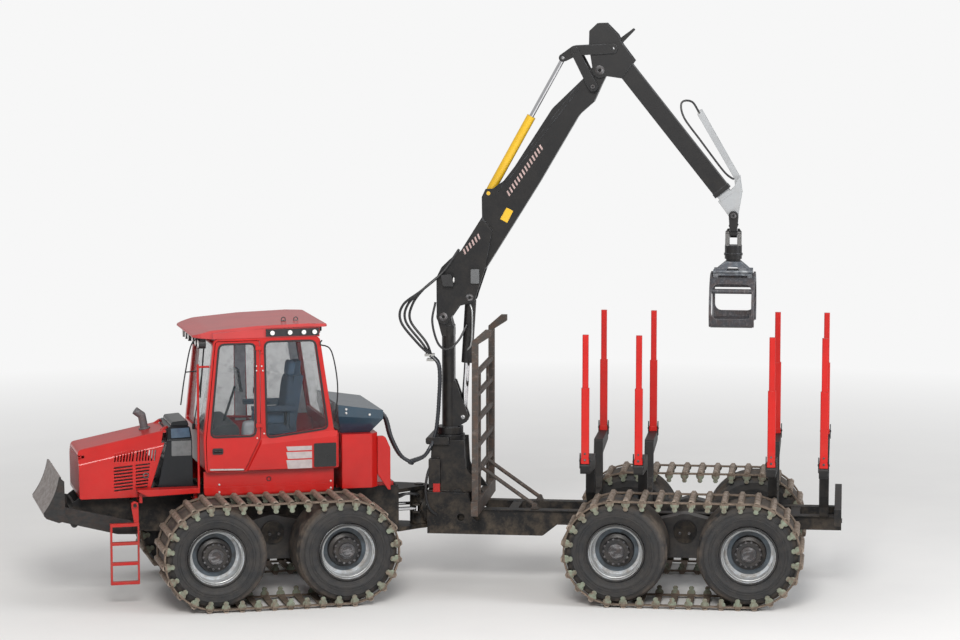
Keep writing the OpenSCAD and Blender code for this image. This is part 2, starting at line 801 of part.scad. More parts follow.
module front_left() { place() translate([front_bogie_x, 0, 0]) children(); }
module front_right() { place() translate([front_bogie_x, 0, 0]) mirror([0, 1, 0]) children(); }
module rear_left() { wagon() translate([-rear_bogie_x, 0, 0]) children(); }
module rear_right() { wagon() translate([-rear_bogie_x, 0, 0]) mirror([0, 1, 0]) children(); }

module bogie_front_left() { color([0.4, 0.4, 0.42]) front_left() bogie(); }
module bogie_front_right() { color([0.4, 0.4, 0.42]) front_right() bogie(); }
module bogie_rear_left() { color([0.4, 0.4, 0.42]) rear_left() bogie(); }
module bogie_rear_right() { color([0.4, 0.4, 0.42]) rear_right() bogie(); }
module tyres_front_left() { color([0.09, 0.08, 0.07]) front_left() tyres(); }
module tyres_front_right() { color([0.09, 0.08, 0.07]) front_right() tyres(); }
module tyres_rear_left() { color([0.09, 0.08, 0.07]) rear_left() tyres(); }
module tyres_rear_right() { color([0.09, 0.08, 0.07]) rear_right() tyres(); }
module track_front_left() { color([0.35, 0.28, 0.22]) front_left() track(); }
module track_front_right() { color([0.35, 0.28, 0.22]) front_right() track(); }
module track_rear_left() { color([0.35, 0.28, 0.22]) rear_left() track(); }
module track_rear_right() { color([0.35, 0.28, 0.22]) rear_right() track(); }

// STEERING AND ROLL JOINT

wagon_front = 166;

// Block on the steering pin, with the roll bearing's housing behind it
module mid_joint() {
    z0 = clevis_z[0] + clevis_t + clear;
    z1 = clevis_z[1] - clear;
    color([0.1, 0.1, 0.1]) wagon() difference() {
        union() {
            translate([0, 0, z0]) cylinder(r = 120, h = z1 - z0);
            translate([0, 0, clevis_z[0] - 15])
                cylinder(r = steer_pin_r, h = clevis_z[1] - clevis_z[0] + clevis_t + 30);
            at([0, roll_z]) bar_x(205, -wagon_front + clear, -90);
            at([0, roll_z]) bar_x(140, -91, -40);
            for (z = [steer_z - 60, steer_z + 40]) translate([0, 0, z]) linear_extrude(20)
                polygon([[-60, -90], [-45, -ear_y - 45], [45, -ear_y - 45], [60, -90], [60, 90],
                    [45, ear_y + 45], [-45, ear_y + 45], [-60, 90]]);
        }
        at([0, roll_z]) bar_x(roll_r + run, -wagon_front, -60);
        for (s = [-1, 1]) translate([0, s * ear_y, steer_z - 61]) cylinder(r = 20, h = 122);
    }
}

// Rod eye's place on the side s, in the tractor's plan view
function ear(s) = [s * ear_y * sin(bend), s * ear_y * cos(bend)];

// Lays a side-view piece down in plan view and aims it from the tractor's bracket at the ear
module steer_aim(s) {
    b = [steer_base[0], s * steer_base[1]];
    d = ear(s) - b;
    place() translate([b[0], b[1], steer_z]) rotate([0, 0, atan2(d[1], d[0])])
        rotate([90, 0, 0]) children();
}

module steer_barrel(s) {
    color([0.1, 0.1, 0.1]) steer_aim(s) {
        barrel(steer_barrel_r, steer_rod_r, 620, 38, 34, 0);
        bar_y(20, -72, 72);
    }
}

module steer_rod(s) {
    reach = norm(ear(s) - [steer_base[0], s * steer_base[1]]);
    color([0.7, 0.7, 0.72]) steer_aim(s) translate([reach, 0, 0]) rod(steer_rod_r, 640, 34, 34, 20);
}

module steer_barrel_left() { steer_barrel(1); }
module steer_barrel_right() { steer_barrel(-1); }
module steer_rod_left() { steer_rod(1); }
module steer_rod_right() { steer_rod(-1); }

// WAGON

// Beams, front plate with the roll spigot, axle, deck cross-members and rear bumper
module rear_frame() {
    inner = beam_y - 100;
    color([0.06, 0.06, 0.065]) wagon() difference() {
        union() {
            both() side(inner, beam_y) polygon(rounded([
                [-1700, 700], [-wagon_front, 700], [-wagon_front, 1250], [-head_x + 170, 1250],
                [-head_x + 100, deck_z],
                [-wagon_len, deck_z],
                [-wagon_len, 860], [-4000, 860], [-3860, 700], [-3320, 700], [-3180, 860], [-1900, 860]
            ], [60, 0, 0, 20, 60, 0, 0, 60, 40, 40, 60, 60]));
            // Top flanges
            both() side(beam_y - 1, beam_y + 40) polygon(rect([-wagon_len, deck_z - 16], [-860, deck_z]));
            both() side(beam_y - 1, beam_y + 40) polygon(rect([-3180 + 60, 860], [-1900, 876]));
            box([-wagon_front - 60, -inner, 700], [-wagon_front, inner, 1250]);
            for (x = [-1300, -2700, -4100, -5000]) box([x - 60, -inner, 880], [x + 60, inner, deck_z - 10]);
            at([0, roll_z]) bar_x(roll_r, -wagon_front - 10, -75);
            at([-rear_bogie_x, pivot_z]) axle();
            box([-wagon_len, -bumper_y, 1020], [-wagon_len + 90, bumper_y, 1240]);
            box([-wagon_len, -inner, 860], [-wagon_len + 40, inner, 1021]);
            // Towing plate
            translate([0, 0, 900]) linear_extrude(40) polygon([
                [-wagon_len - 10, -60], [-wagon_len + 60, -160], [-wagon_len + 60, 160],
                [-wagon_len - 10, 60]
            ]);
        }
        for (x = [-613, -830]) at([x, 924]) bar_y(50, -beam_y - 1, beam_y + 1);
        translate([-wagon_len + 30, 0, 899]) cylinder(r = 26, h = 42);
        translate([-wagon_len + 30, 0, 941]) cylinder(r = 60, h = 100);
        translate([-wagon_len + 30, 0, 800]) cylinder(r = 60, h = 100);
    }
}

base_top = 1985;

// Crane's pedestal, fixed between the beams
module crane_base() {
    inner = beam_y - 100;
    color([0.06, 0.06, 0.065]) wagon() difference() {
        union() {
            box([-wagon_front - 500, -inner + seat_gap, 800],
                [-wagon_front - 61, inner - seat_gap, 1250 + seat_gap]);
            plates(260, 40) polygon(rounded([
                [-900, 1250 + seat_gap], [-wagon_front - 4, 1250 + seat_gap], [-200, 1700], [-210, 1930],
                [-640, 1930], [-660, 1560]
            ], [0, 0, 60, 0, 0, 160]));
            side(-221, 221) polygon([[-660, 1250 + seat_gap], [-240, 1250 + seat_gap], [-240, 1900],
                [-600, 1900]]);
            translate([-slew_x, 0, 1900]) cylinder(r = 200, h = base_top - 1900);
            // Head block with its forward nose
            side(-330, 330) polygon(rounded([[-450, 1880], [-140, 1880], [-140, 1955], [-160, 1975],
                [-450, 1975]], [0, 30, 10, 10, 0]));
            // Tool and valve box on the near side
            side(259, 350) polygon(rounded(rect([-330, 1300], [-180, 1690]), 12));
            // Feet on the beams
            both() for (x = [-230, -560]) box([x - 60, 259, 1250 + seat_gap], [x + 60, 345, 1275]);
        }
        translate([-slew_x, 0, 1700]) cylinder(r = 90 + run, h = 400);
    }
}

head_x = 870;
brace_y = 330;
brace_top = [-head_x - 10, 1592];
brace_foot = [-1590, deck_z + 44];

// Front frame of the load space
module headboard() {
    color([0.2, 0.2, 0.2]) wagon() {
        box([-head_x - 45, -1000, deck_z + seat_gap], [-head_x + 45, 1000, deck_z + 190]);
        both() side(860, 940) polygon([
            [-head_x + 40, deck_z + 180], [-head_x + 40, 3330], [-1000, 3480], [-1080, 3480],
            [-1080, 3400], [-head_x - 40, 3290],
            [-head_x - 40, deck_z + 180]
        ]);
        for (z = [1560, 1900, 2240, 2580, 2860]) box([-head_x - 25, -862, z], [-head_x + 25, 862, z + 60]);
        // Braces from the second rail down to the deck
        both() translate([0, brace_y, 0]) {
            aim(brace_top, brace_foot) bar_x(26, 0, norm(brace_foot - brace_top));
            at(brace_foot) bar_y(34, -32, 32);
            side(-32, 32) polygon([brace_foot + [-60, -44 + seat_gap], brace_foot + [60, -44 + seat_gap],
                brace_foot + [30, 0], brace_foot + [-30, 0]]);
        }
        for (y = [-430, 400]) box([-head_x - 15, y, deck_z + 180], [-head_x + 15, y + 30, 2870]);
    }
}

// Outline of one bunk, in Y and Z: a trough with level arms
bunk_half = [
    [485, deck_z + seat_gap], [485, deck_z + 130], [650, deck_z + 280], [650, bunk_z - 190],
    [bunk_y, bunk_z - 130],
    [bunk_y, bunk_z], [600, bunk_z], [520, deck_z + 300], [430, deck_z + 170]
];

stake_pin_z = bunk_z + 34;

// Bunks across the deck, with the cheeks and pins that hold the stakes' feet
module bunks() {
    outline = concat(bunk_half, [for (i = [len(bunk_half) - 1:-1:0]) [-bunk_half[i][0], bunk_half[i][1]]]);
    color([0.06, 0.06, 0.065]) wagon() for (x = bunk_xs) {
        across(-x - bunk_t / 2, -x + bunk_t / 2) polygon(rounded(outline, 30, 2));
        both() translate([-x, stake_y, 0]) {
            for (s = [-1, 1]) across(s * (cheek_x - 6) - 6, s * (cheek_x - 6) + 6) polygon([
                [-cheek_y, bunk_z - 60], [cheek_y, bunk_z - 60], [cheek_y, bunk_z + 90], [20, bunk_z + 130],
                [-20, bunk_z + 130], [-cheek_y, bunk_z + 90]
            ]);
            translate([0, 0, stake_pin_z]) bar_x(14, -cheek_x - 6, cheek_x + 6);
        }
    }
}

// Two-section stakes, each with its foot on a bunk's arm
module stakes() {
    color([0.8, 0.04, 0.04]) wagon() both() for (x = bunk_xs) difference() {
        translate([-x, stake_y, 0]) {
            translate([0, 0, bunk_z + seat_gap]) linear_extrude(60) polygon(rounded(rect([-55, -48],
                [55, 48]), 14, 2));
            translate([0, 0, bunk_z + 59]) linear_extrude(2820 - bunk_z - 59)
                polygon(rounded(rect([-50, -42], [50, 42]), 14, 2));
            translate([0, 0, 2819]) linear_extrude(stake_top - 2819) polygon(rounded(rect([-38, -34],
                [38, 34]), 12, 2));
        }
        translate([-x, stake_y, stake_pin_z]) bar_x(14 + run, -60, 60);
    }
}

// CRANE

collar_z = base_top + clear;

// Slewing pillar with the lift cylinder's lug and the boom's head
module column() {
    color([0.05, 0.05, 0.055]) wagon() difference() {
        union() {
            translate([-slew_x, 0, collar_z]) cylinder(r = 178, h = 2085 - collar_z);
            translate([-slew_x, 0, 1720]) cylinder(r = 90, h = 300);
            difference() {
                union() {
                    translate([-slew_x, 0, 2080]) cylinder(r = pillar_r, h = boom_z - 2200);
                    side(-100, 100) polygon([[-slew_x - 90, boom_z - 260],
                        [-slew_x + 95, boom_z - 260], [-262, boom_z - 20], [-447, boom_z - 20]]);
                }
                // Flat that leaves room for the lift cylinder at both ends of its swing
                box([-slew_x - 200, -130, 2090], [-slew_x - lift_flat, 130, boom_z]);
            }
            at(pivot_p) bar_y(100, -106, 106);
            plates(90, 32) polygon([
                [-slew_x, 2080], [-slew_x, 2740], [-slew_x - pillar_r + 20, 2700], lift_low + [-62, 44],
                lift_low + [-74, 0],
                lift_low + [-50, -62], [-slew_x - 100, 2080]
            ]);
        }
        at(pivot_p) bar_y(50 + run, -111, 111);
        at(lift_low) bar_y(28, -91, 91);
    }
}

boom_box = [
    [-560, 4060], [-898, 4178], [-1614, 5329], [-2136, 6224], [-2330, 6395], [-2440, 6640], [-2500, 6760],
    [-2440, 6900], [-2330, 6880], [-2214, 6723], [-1784, 6307], [-855, 4869], [-590, 4440], [-450, 4240]
];
foot_plate = [
    [-264, 3557], [-262, 4080], [-330, 4215], [-450, 4330], [-590, 4440], [-860, 4872], [-1000, 4700],
    [-905, 4190],
    [-790, 3850], [-775, 3790], [-700, 3740], [-560, 3700], [-430, 3510]
];
function lifted(p) = [for (q = p) [q[0], q[1] + boom_z - 3557]];

// Box boom with its foot cheeks and brackets
module boom() {
    color([0.05, 0.05, 0.055]) wagon() difference() {
        union() {
            side(-boom_y, boom_y) polygon(rounded(lifted(boom_box), [30, 60, 200, 300, 40, 40, 30, 30, 40,
                200, 300, 60, 60, 60]));
            at(elbow) bar_y(108, -boom_y, boom_y);
            at(strut_pin) bar_y(34, -194, 194);
            plates(150, 38) polygon(rounded(lifted(foot_plate), 40));
            at(pivot_p) bar_y(50, -150, 150);
            // Web that joins the cheeks to the box
            plates(114, 20) polygon(lifted([[-560, 4060], [-898, 4178], [-1000, 4700], [-860, 4872],
                [-590, 4440], [-450, 4240]]));
            at(pivot_p) plates(150, 38) circle(r = 92);
            at(lift_top) plates(150, 38) circle(r = 76);
            // Welded strips along the box's upper side
            plates(boom_y + 10, 11) polygon(lifted([[-1180, 5330], [-2130, 6560], [-2100, 6590],
                [-1150, 5360]]));
            // Arm cylinder's bracket
            plates(boom_y, 30) polygon(lifted([[-860, 4870], [-856, 5140], [-905, 5245], [-1000, 5250],
                [-1180, 5380]]));
        }
        at(lift_top) bar_y(28 + run, -151, 151);
        at(armcyl_base) bar_y(26 + run, -151, 151);
        at(elbow) bar_y(42 + run, -151, 151);
    }
}

module lift_barrel() {
    color([0.05, 0.05, 0.055]) wagon() aim(lift_top, lift_low) {
        barrel(lift_r, 40, 880, 62, 60, 0);
        bar_y(28, -150, 150);
    }
}

module lift_rod() {
    color([0.75, 0.75, 0.77]) wagon() aim(lift_top, lift_low) translate([norm(lift_low - lift_top), 0, 0])
        rod(40, 1180, 58, 50, 28);
}

module arm_barrel() {
    color([0.85, 0.65, 0.02]) wagon() aim(armcyl_base, rod_eye) {
        barrel(armcyl_r, 32, 1150, 48, 58, 0);
        bar_y(26, -boom_y, boom_y);
    }
}

module arm_rod() {
    color([0.75, 0.75, 0.77]) wagon() aim(armcyl_base, rod_eye)
        translate([norm(rod_eye - armcyl_base), 0, 0])
        rod(32, 1425, 40, 128, 20);
}

// Flat bar with round ends between two side-view points
module bar_outline(a, b, ra, rb) {
    d = (b - a) / norm(b - a);
    n = [-d[1], d[0]];
    translate(a) circle(r = ra);
    translate(b) circle(r = rb);
    polygon([a + n * ra, a - n * ra, b - n * rb, b + n * rb]);
}

// Pair of short links from the boom to the top link
module strut() {
    color([0.05, 0.05, 0.055]) wagon() difference() {
        plates(190, 24) bar_outline(strut_pin, link_pin, 62, 55);
        at(strut_pin) bar_y(34 + run, -191, 191);
        at(link_pin) bar_y(30 + run, -191, 191);
    }
}

// Pair of long links from the rod's eye to the arm
module top_link() {
    color([0.05, 0.05, 0.055]) wagon() difference() {
        union() {
            plates(160, 24) {
                bar_outline(rod_eye, link_pin, 52, 66);
                bar_outline(link_pin, arm_pin, 66, 62);
            }
            at(link_pin) bar_y(30, -196, 196);
        }
        at(rod_eye) bar_y(20, -161, 161);
        at(arm_pin) bar_y(20, -161, 161);
    }
}

// Arm's box axis, from the elbow's side to its open end
arm_dir = [-996, -1249] / norm([996, 1249]);
arm_end = [-4012, boom_z + 1664];
arm_half_h = 112;
arm_len = 2130;
ext_h = 92;
ext_y = 78;

// Draws along the arm: +X runs out to the tip, +Z is the arm's upper side; the origin is the arm's open end
module along_arm() {
    at(arm_end) rotate([0, -atan2(arm_dir[1], arm_dir[0]), 0]) mirror([0, 0, 1]) children();
}

module arm() {
    color([0.05, 0.05, 0.055]) wagon() difference() {
        union() {
            along_arm() box([-arm_len, -101, -arm_half_h], [0, 101, arm_half_h]);
            along_arm() box([-60, -108, -arm_half_h - 8], [0, 108, arm_half_h + 8]);
            plates(130, 30) {
                translate(elbow) circle(r = 100);
                polygon(lifted([
                    [-2310, 6820], [-2262, 7120], [-2266, 7314], [-2371, 7414], [-2490, 7418],
                    [-2640, 7266], [-2700, 7140],
                    [-2860, 6930], [-2690, 6700], [-2480, 6730], [-2440, 6712]
                ]));
            }
            side(-103, 103) polygon(lifted([[-2575, 7170], [-2630, 7235], [-2800, 6990], [-2740, 6920],
                [-2640, 6960]]));
            at(arm_pin) bar_y(50, -102, 102);
            at(elbow) bar_y(42, -130, 130);
            // Stop that stands up behind the head
            side(-24, 24) polygon(lifted([[-2660, 7180], [-2700, 7165], [-2856, 7328], [-2836, 7350],
                [-2668, 7225]]));
        }
        at(arm_pin) bar_y(20, -131, 131);
        along_arm() box([-1960, -ext_y - 4, -ext_h - 4], [1, ext_y + 4, ext_h + 4]);
    }
}

// Telescoping extension with its tip head and hose-guide bar
module extension() {
    color([0.75, 0.76, 0.78]) wagon() difference() {
        union() {
            along_arm() box([-1900, -ext_y, -ext_h], [75, ext_y, ext_h]);
            side(-ext_y + 2, ext_y - 2) polygon(lifted([
                [-3952, 5106], [-4110, 4890], [-4210, 4900], [-4225, 5000], [-4262, 5230], [-4232, 5450],
                [-4150, 5290]
            ]));
            at(tip_pin) bar_y(62, -ext_y + 1, ext_y - 1);
            side(-35, 35) polygon(lifted([
                [-4245, 5240], [-4220, 5450], [-3730, 6300], [-3680, 6290], [-3672, 6230], [-4160, 5400],
                [-4175, 5215]
            ]));
            // Slide pads at the inner end
            along_arm() box([-1900, -ext_y - 3.9, -ext_h - 3.9], [-1800, ext_y + 3.9, ext_h + 3.9]);
        }
        at(tip_pin) {
            bar_y(35 + run, -ext_y - 1, ext_y + 1);
        }
    }
}

// GRAPPLE

// Hanging link with one pin across the arm and one along it
module tip_link() {
    color([0.05, 0.05, 0.055]) wagon() difference() {
        union() {
            plates(ext_y + 34, 28) {
                bar_outline(tip_pin, [tip_pin[0], tip_pin[1] - 150], 62, 50);
                polygon([
                    [tip_pin[0] - 50, tip_pin[1] - 150], [tip_pin[0] - 62, tip_pin[1] - 130],
                    [tip_pin[0] - 45, tip_pin[1] - 100],
                    [tip_pin[0] + 45, tip_pin[1] - 100], [tip_pin[0] + 62, tip_pin[1] - 130],
                    [tip_pin[0] + 50, tip_pin[1] - 150]
                ]);
            }
            at(tip_pin) bar_y(35, -ext_y - 34, ext_y + 34);
            box([tip_pin[0] - 45, -ext_y - 34, tip_pin[1] - 190],
                [tip_pin[0] + 45, ext_y + 34, tip_pin[1] - 130]);
            translate([tip_pin[0], 0, cross_z]) bar_x(58, -45, 45);
            box([tip_pin[0] - 45, -58, cross_z], [tip_pin[0] + 45, 58, tip_pin[1] - 185]);
        }
        translate([tip_pin[0], 0, cross_z]) bar_x(30 + run, -46, 46);
    }
}

// Rotator hung on the cross pin, its shaft reaching into the grapple's head
module rotator() {
    color([0.05, 0.05, 0.055]) wagon() translate([tip_pin[0], 0, 0]) {
        for (s = [-1, 1]) mirror([s < 0 ? 1 : 0, 0, 0]) intersection() {
            across(51, 104) {
                translate([0, cross_z]) circle(r = 62);
                polygon([[-62, cross_z], [-95, cross_z - 160], [95, cross_z - 160], [62, cross_z]]);
            }
            side(-120, 120) polygon([[40, cross_z - 170], [104, cross_z - 170], [104, cross_z + 12],
                [72, cross_z + 70], [40, cross_z + 70]]);
        }
        translate([0, 0, cross_z]) bar_x(30, -104, 104);
        translate([0, 0, rotator_low + clear]) cylinder(r = 95, h = 60);
        translate([0, 0, rotator_low + clear + 24])
            cylinder(r = 112, h = cross_z - 155 - rotator_low - clear - 24);
        translate([0, 0, rotator_low + clear + 70]) cylinder(r = 122, h = 30);
        translate([0, 0, rotator_low - 60]) cylinder(r = 55, h = 80);
    }
}

jaw_half = 290;

// Grapple's head: a trapezoid cap on a box that carries the jaws' pins
module grapple_frame() {
    x1 = jaw_half - 36;
    color([0.6, 0.62, 0.65]) wagon() translate([tip_pin[0], 0, 0]) difference() {
        union() {
            side(-130, 130) polygon(rounded([
                [-x1 + 35, rotator_low - 115], [x1 - 35, rotator_low - 115], [x1 - 50, rotator_low - 90],
                [95, rotator_low],
                [-95, rotator_low], [-x1 + 50, rotator_low - 90]
            ], [0, 0, 12, 24, 24, 12]));
            // Hollow head between the jaws' pins, with round tubes along its sides
            box([-x1, -165, rotator_low - 250], [x1, 165, rotator_low - 114]);
            both() translate([0, 150, rotator_low - 128]) bar_x(28, -x1, x1);
            for (s = [-1, 1]) translate([0, s * jaw_pin[0], jaw_pin[1]])
                bar_x(28, -jaw_half - 6, jaw_half + 6);
        }
        translate([0, 0, rotator_low - 61]) cylinder(r = 55 + run, h = 62);
        box([-x1 + 25, -140, rotator_low - 251], [x1 - 25, 140, rotator_low - 140]);
        // Arch under the cap and windows along the head's sides
        side(-200, 200) polygon(rounded([[-85, rotator_low - 113], [85, rotator_low - 113],
            [60, rotator_low - 72], [-60, rotator_low - 72]], [0, 0, 25, 25]));
        side(-200, 200) polygon(rounded(rect([-x1 + 60, rotator_low - 238],
            [x1 - 60, rotator_low - 178]), 25));
    }
}

// Outline of one jaw's side plate, in Y and Z from its pin
jaw_plate = [
    [-40, 45], [80, 55], [235, 0], [375, -120], [465, -290], [475, -460], [425, -590], [335, -622],
    [345, -560], [382, -440], [368, -310], [295, -200], [175, -130], [20, -60]
];
jaw_shell = [
    [200, 17], [235, 0], [375, -120], [465, -290], [475, -460], [425, -590], [335, -622], [333, -606],
    [412, -578], [458, -458],
    [449, -293], [362, -130], [228, -14], [196, 0]
];
// Window in the jaw's curved plate, seen from the side
jaw_window = [[-jaw_half + 34, -500], [jaw_half - 34, -500], [jaw_half - 34, -60], [-jaw_half + 34, -60]];

module jaw() {
    color([0.3, 0.33, 0.36]) wagon() translate([tip_pin[0], 0, 0]) difference() {
        translate([0, jaw_pin[0], jaw_pin[1]]) {
            for (s = [-1, 1]) mirror([s < 0 ? 1 : 0, 0, 0]) across(jaw_half - 26, jaw_half) {
                circle(r = 62);
                polygon(rounded(jaw_plate, 30));
            }
            difference() {
                across(-jaw_half + 20, jaw_half - 20) polygon(jaw_shell);
                side(0, 600) polygon(rounded(jaw_window, 85, 4));
            }
            translate([0, 330, -150]) bar_x(32, -jaw_half + 20, jaw_half - 20);
        }
        translate([0, jaw_pin[0], jaw_pin[1]]) bar_x(28 + run, -jaw_half - 1, jaw_half + 1);
    }
}

module jaw_left() { jaw(); }
module jaw_right() {
    wagon_mirror() jaw();
}

// Mirrors a piece across the wagon's middle plane
module wagon_mirror() {
    translate([-mid_x, -mid_y, 0]) rotate([0, 0, -bend]) mirror([0, 1, 0]) rotate([0, 0, bend])
        translate([mid_x, mid_y, 0]) children();
}

front_frame();
engine();
cab_shell();
cab_roof();
cab_glass();
seat();
cowl();
side_skirts();
rear_box();
rear_tank();
step_tray();
work_lamps();
hood();
grille();
exhaust();
cab_door();
door_glass();
blade();
blade_barrel();
blade_rod();
ladder();
bogie_front_left();
bogie_front_right();
bogie_rear_left();
bogie_rear_right();
tyres_front_left();
tyres_front_right();
tyres_rear_left();
tyres_rear_right();
track_front_left();
track_front_right();
track_rear_left();
track_rear_right();
mid_joint();
steer_barrel_left();
steer_rod_left();
steer_barrel_right();
steer_rod_right();
rear_frame();
crane_base();
headboard();
bunks();
stakes();
column();
boom();
lift_barrel();
lift_rod();
arm_barrel();
arm_rod();
strut();
top_link();
arm();
extension();
tip_link();
rotator();
grapple_frame();
jaw_left();
jaw_right();
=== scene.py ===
"""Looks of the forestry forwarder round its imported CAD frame: camera, light, materials and small pieces.

Lengths are in metres. Points of the tractor are written in its own axes, with the steering pin as the
origin, and points of the wagon and its crane in the wagon's, which are turned by BEND about that pin.
"""
import json
import math

import bmesh
import bpy
from mathutils import Matrix, Vector


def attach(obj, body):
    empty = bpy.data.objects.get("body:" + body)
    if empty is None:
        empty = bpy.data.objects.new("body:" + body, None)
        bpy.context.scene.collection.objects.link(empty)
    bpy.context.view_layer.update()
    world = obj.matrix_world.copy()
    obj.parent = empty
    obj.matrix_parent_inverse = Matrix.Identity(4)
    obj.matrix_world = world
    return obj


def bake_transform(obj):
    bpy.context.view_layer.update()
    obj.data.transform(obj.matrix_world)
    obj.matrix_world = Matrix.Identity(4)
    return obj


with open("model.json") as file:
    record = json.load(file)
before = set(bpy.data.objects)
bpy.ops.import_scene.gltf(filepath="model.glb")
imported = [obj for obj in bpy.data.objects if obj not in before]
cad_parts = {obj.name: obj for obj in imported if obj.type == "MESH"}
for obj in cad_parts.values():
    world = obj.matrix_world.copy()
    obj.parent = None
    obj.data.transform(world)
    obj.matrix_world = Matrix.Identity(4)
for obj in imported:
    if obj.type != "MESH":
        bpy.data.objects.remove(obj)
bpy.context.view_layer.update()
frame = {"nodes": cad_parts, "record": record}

# DRIVING PLACES

JOINTS = {j["name"]: Vector(j["pos_m"]) for j in frame["record"]["behaviour"]["joints"] if "pos_m" in j}
PIN = Vector((*JOINTS["steering"].xy, 0))
BEND = math.radians(21)
TRACTOR = Matrix.Translation(PIN)
WAGON = TRACTOR @ Matrix.Rotation(-BEND, 4, "Z")

# Half the distance between a bogie's axles, and the wheels' height and distance to the side
BOGIE_HALF = 0.845
WHEEL_Z = 0.7053
WHEEL_Y = 1.145

# The right and the left side, by the sign of Y
SIDES = ((-1, "_right"), (1, "_left"))

# Each bogie's body ending, its axes, the side it is on and its pivot's X
BOGIES = [
    (end, axes, side, (axes.inverted() @ JOINTS["bogie_" + end]).x)
    for end, axes, side in (
        ("front_left", TRACTOR, 1), ("front_right", TRACTOR, -1),
        ("rear_left", WAGON, 1), ("rear_right", WAGON, -1),
    )
]

# MATERIALS


class Nodes:
    """Short calls for building one material's node tree."""

    def __init__(self, name):
        self.mat = bpy.data.materials.new(name)
        self.mat.use_nodes = True
        self.tree = self.mat.node_tree
        self.shader = self.tree.nodes["Principled BSDF"]
        self.place = self.add("ShaderNodeTexCoord").outputs["Object"]

    def add(self, kind, **sockets):
        node = self.tree.nodes.new(kind)
        for key, value in sockets.items():
            self.set(node.inputs[key.replace("_", " ")], value)
        return node

    def set(self, socket, value):
        if isinstance(value, bpy.types.NodeSocket):
            self.tree.links.new(value, socket)
        elif isinstance(value, tuple) and len(value) == 3 and socket.type == "RGBA":
            socket.default_value = (*value, 1)
        else:
            socket.default_value = value

    def noise(self, scale, detail=4, rough=0.6, stretch=None):
        place = self.place
        if stretch:
            place = self.add("ShaderNodeMapping", Vector=place, Scale=stretch).outputs["Vector"]
        node = self.add("ShaderNodeTexNoise", Vector=place, Scale=scale, Detail=detail, Roughness=rough)
        return node.outputs["Fac"]

    def ramp(self, value, low, high, out_low=0.0, out_high=1.0):
        node = self.add("ShaderNodeMapRange", Value=value)
        node.inputs["From Min"].default_value = low
        node.inputs["From Max"].default_value = high
        node.inputs["To Min"].default_value = out_low
        node.inputs["To Max"].default_value = out_high
        return node.outputs["Result"]

    def math(self, operation, a, b=0.0, clamp=False):
        node = self.add("ShaderNodeMath")
        node.operation = operation
        node.use_clamp = clamp
        self.set(node.inputs[0], a)
        self.set(node.inputs[1], b)
        return node.outputs[0]

    def mix(self, factor, a, b):
        node = self.add("ShaderNodeMix")
        node.data_type = "RGBA"
        self.set(node.inputs["Factor"], factor)
        self.set(node.inputs[6], a)
        self.set(node.inputs[7], b)
        return node.outputs[2]

    def axes(self, matrix):
        """X, Y and Z in the axes of a body."""
        node = self.add("ShaderNodeMapping", Vector=self.place)
        node.vector_type = "TEXTURE"
        node.inputs["Location"].default_value = matrix.translation
        node.inputs["Rotation"].default_value = matrix.to_euler()
        return self.add("ShaderNodeSeparateXYZ", Vector=node.outputs["Vector"]).outputs

    def height(self, low, high):
        """1 below the height low, falling to 0 at the height high."""
        return self.ramp(self.add("ShaderNodeSeparateXYZ", Vector=self.place).outputs["Z"], low, high, 1, 0)

    def surface(self, value, distance, strength=0.5, rounding=0.01):
        """Bump over softly rounded edges. Gives a mask that is 1 on the edges themselves."""
        bevel = self.add("ShaderNodeBevel", Radius=rounding)
        bevel.samples = 4
        bump = self.add("ShaderNodeBump", Height=value, Distance=distance, Strength=strength)
        self.tree.links.new(bevel.outputs["Normal"], bump.inputs["Normal"])
        self.tree.links.new(bump.outputs["Normal"], self.shader.inputs["Normal"])
        lean = self.add("ShaderNodeVectorMath")
        lean.operation = "DOT_PRODUCT"
        self.tree.links.new(bevel.outputs["Normal"], lean.inputs[0])
        self.tree.links.new(self.add("ShaderNodeNewGeometry").outputs["Normal"], lean.inputs[1])
        return self.ramp(lean.outputs["Value"], 0.97, 0.8)


DUST = (0.2, 0.155, 0.11)
RUST = (0.16, 0.075, 0.04)


def paint(name, colour, rough=0.35, dust=0.35, dust_top=1.5, coat=0.2, edge=None, rub_and_highlight=0.5, shine=0.5):
    """Paint that is a little uneven, with an edge colour that is painted highlight as well as rubbed paint,
    and dust that thickens towards the ground.
    """
    n = Nodes(name)
    darker = tuple(c * 0.85 for c in colour)
    base = n.mix(n.ramp(n.noise(2.2, 6), 0.35, 0.65), colour, darker)
    edges = n.surface(n.noise(90, 3), 0.0006, 0.25)
    # The edge colour along the edges is a painted highlight as well as rubbed paint
    if edge:
        edge_rub_and_highlight = n.math("MULTIPLY", edges, n.ramp(n.noise(9, 6, 0.7), 0.42, 0.6, 0.15, 1))
        base = n.mix(n.math("MULTIPLY", edge_rub_and_highlight, rub_and_highlight), base, edge)
    speck = n.ramp(n.noise(38, 8, 0.75), 0.56, 0.74)
    low = n.math("ADD", n.height(0.7, dust_top), 0.12)
    cloud = n.ramp(n.noise(5.5, 10, 0.7), 0.42, 0.72)
    grime = n.math("MULTIPLY", n.math("MULTIPLY", n.math("MAXIMUM", cloud, speck), low), dust, True)
    n.set(n.shader.inputs["Base Color"], n.mix(grime, base, DUST))
    n.set(n.shader.inputs["Roughness"], n.ramp(grime, 0, 0.5, rough, 0.8))
    n.shader.inputs["Coat Weight"].default_value = coat
    n.shader.inputs["Coat Roughness"].default_value = 0.15
    n.shader.inputs["Specular IOR Level"].default_value = shine
    return n.mat


# Where the blade's own plate ends to the sides and to the rear
PLATE_Y = (0.72, 0.71)
PLATE_X = (4.78, 4.8)


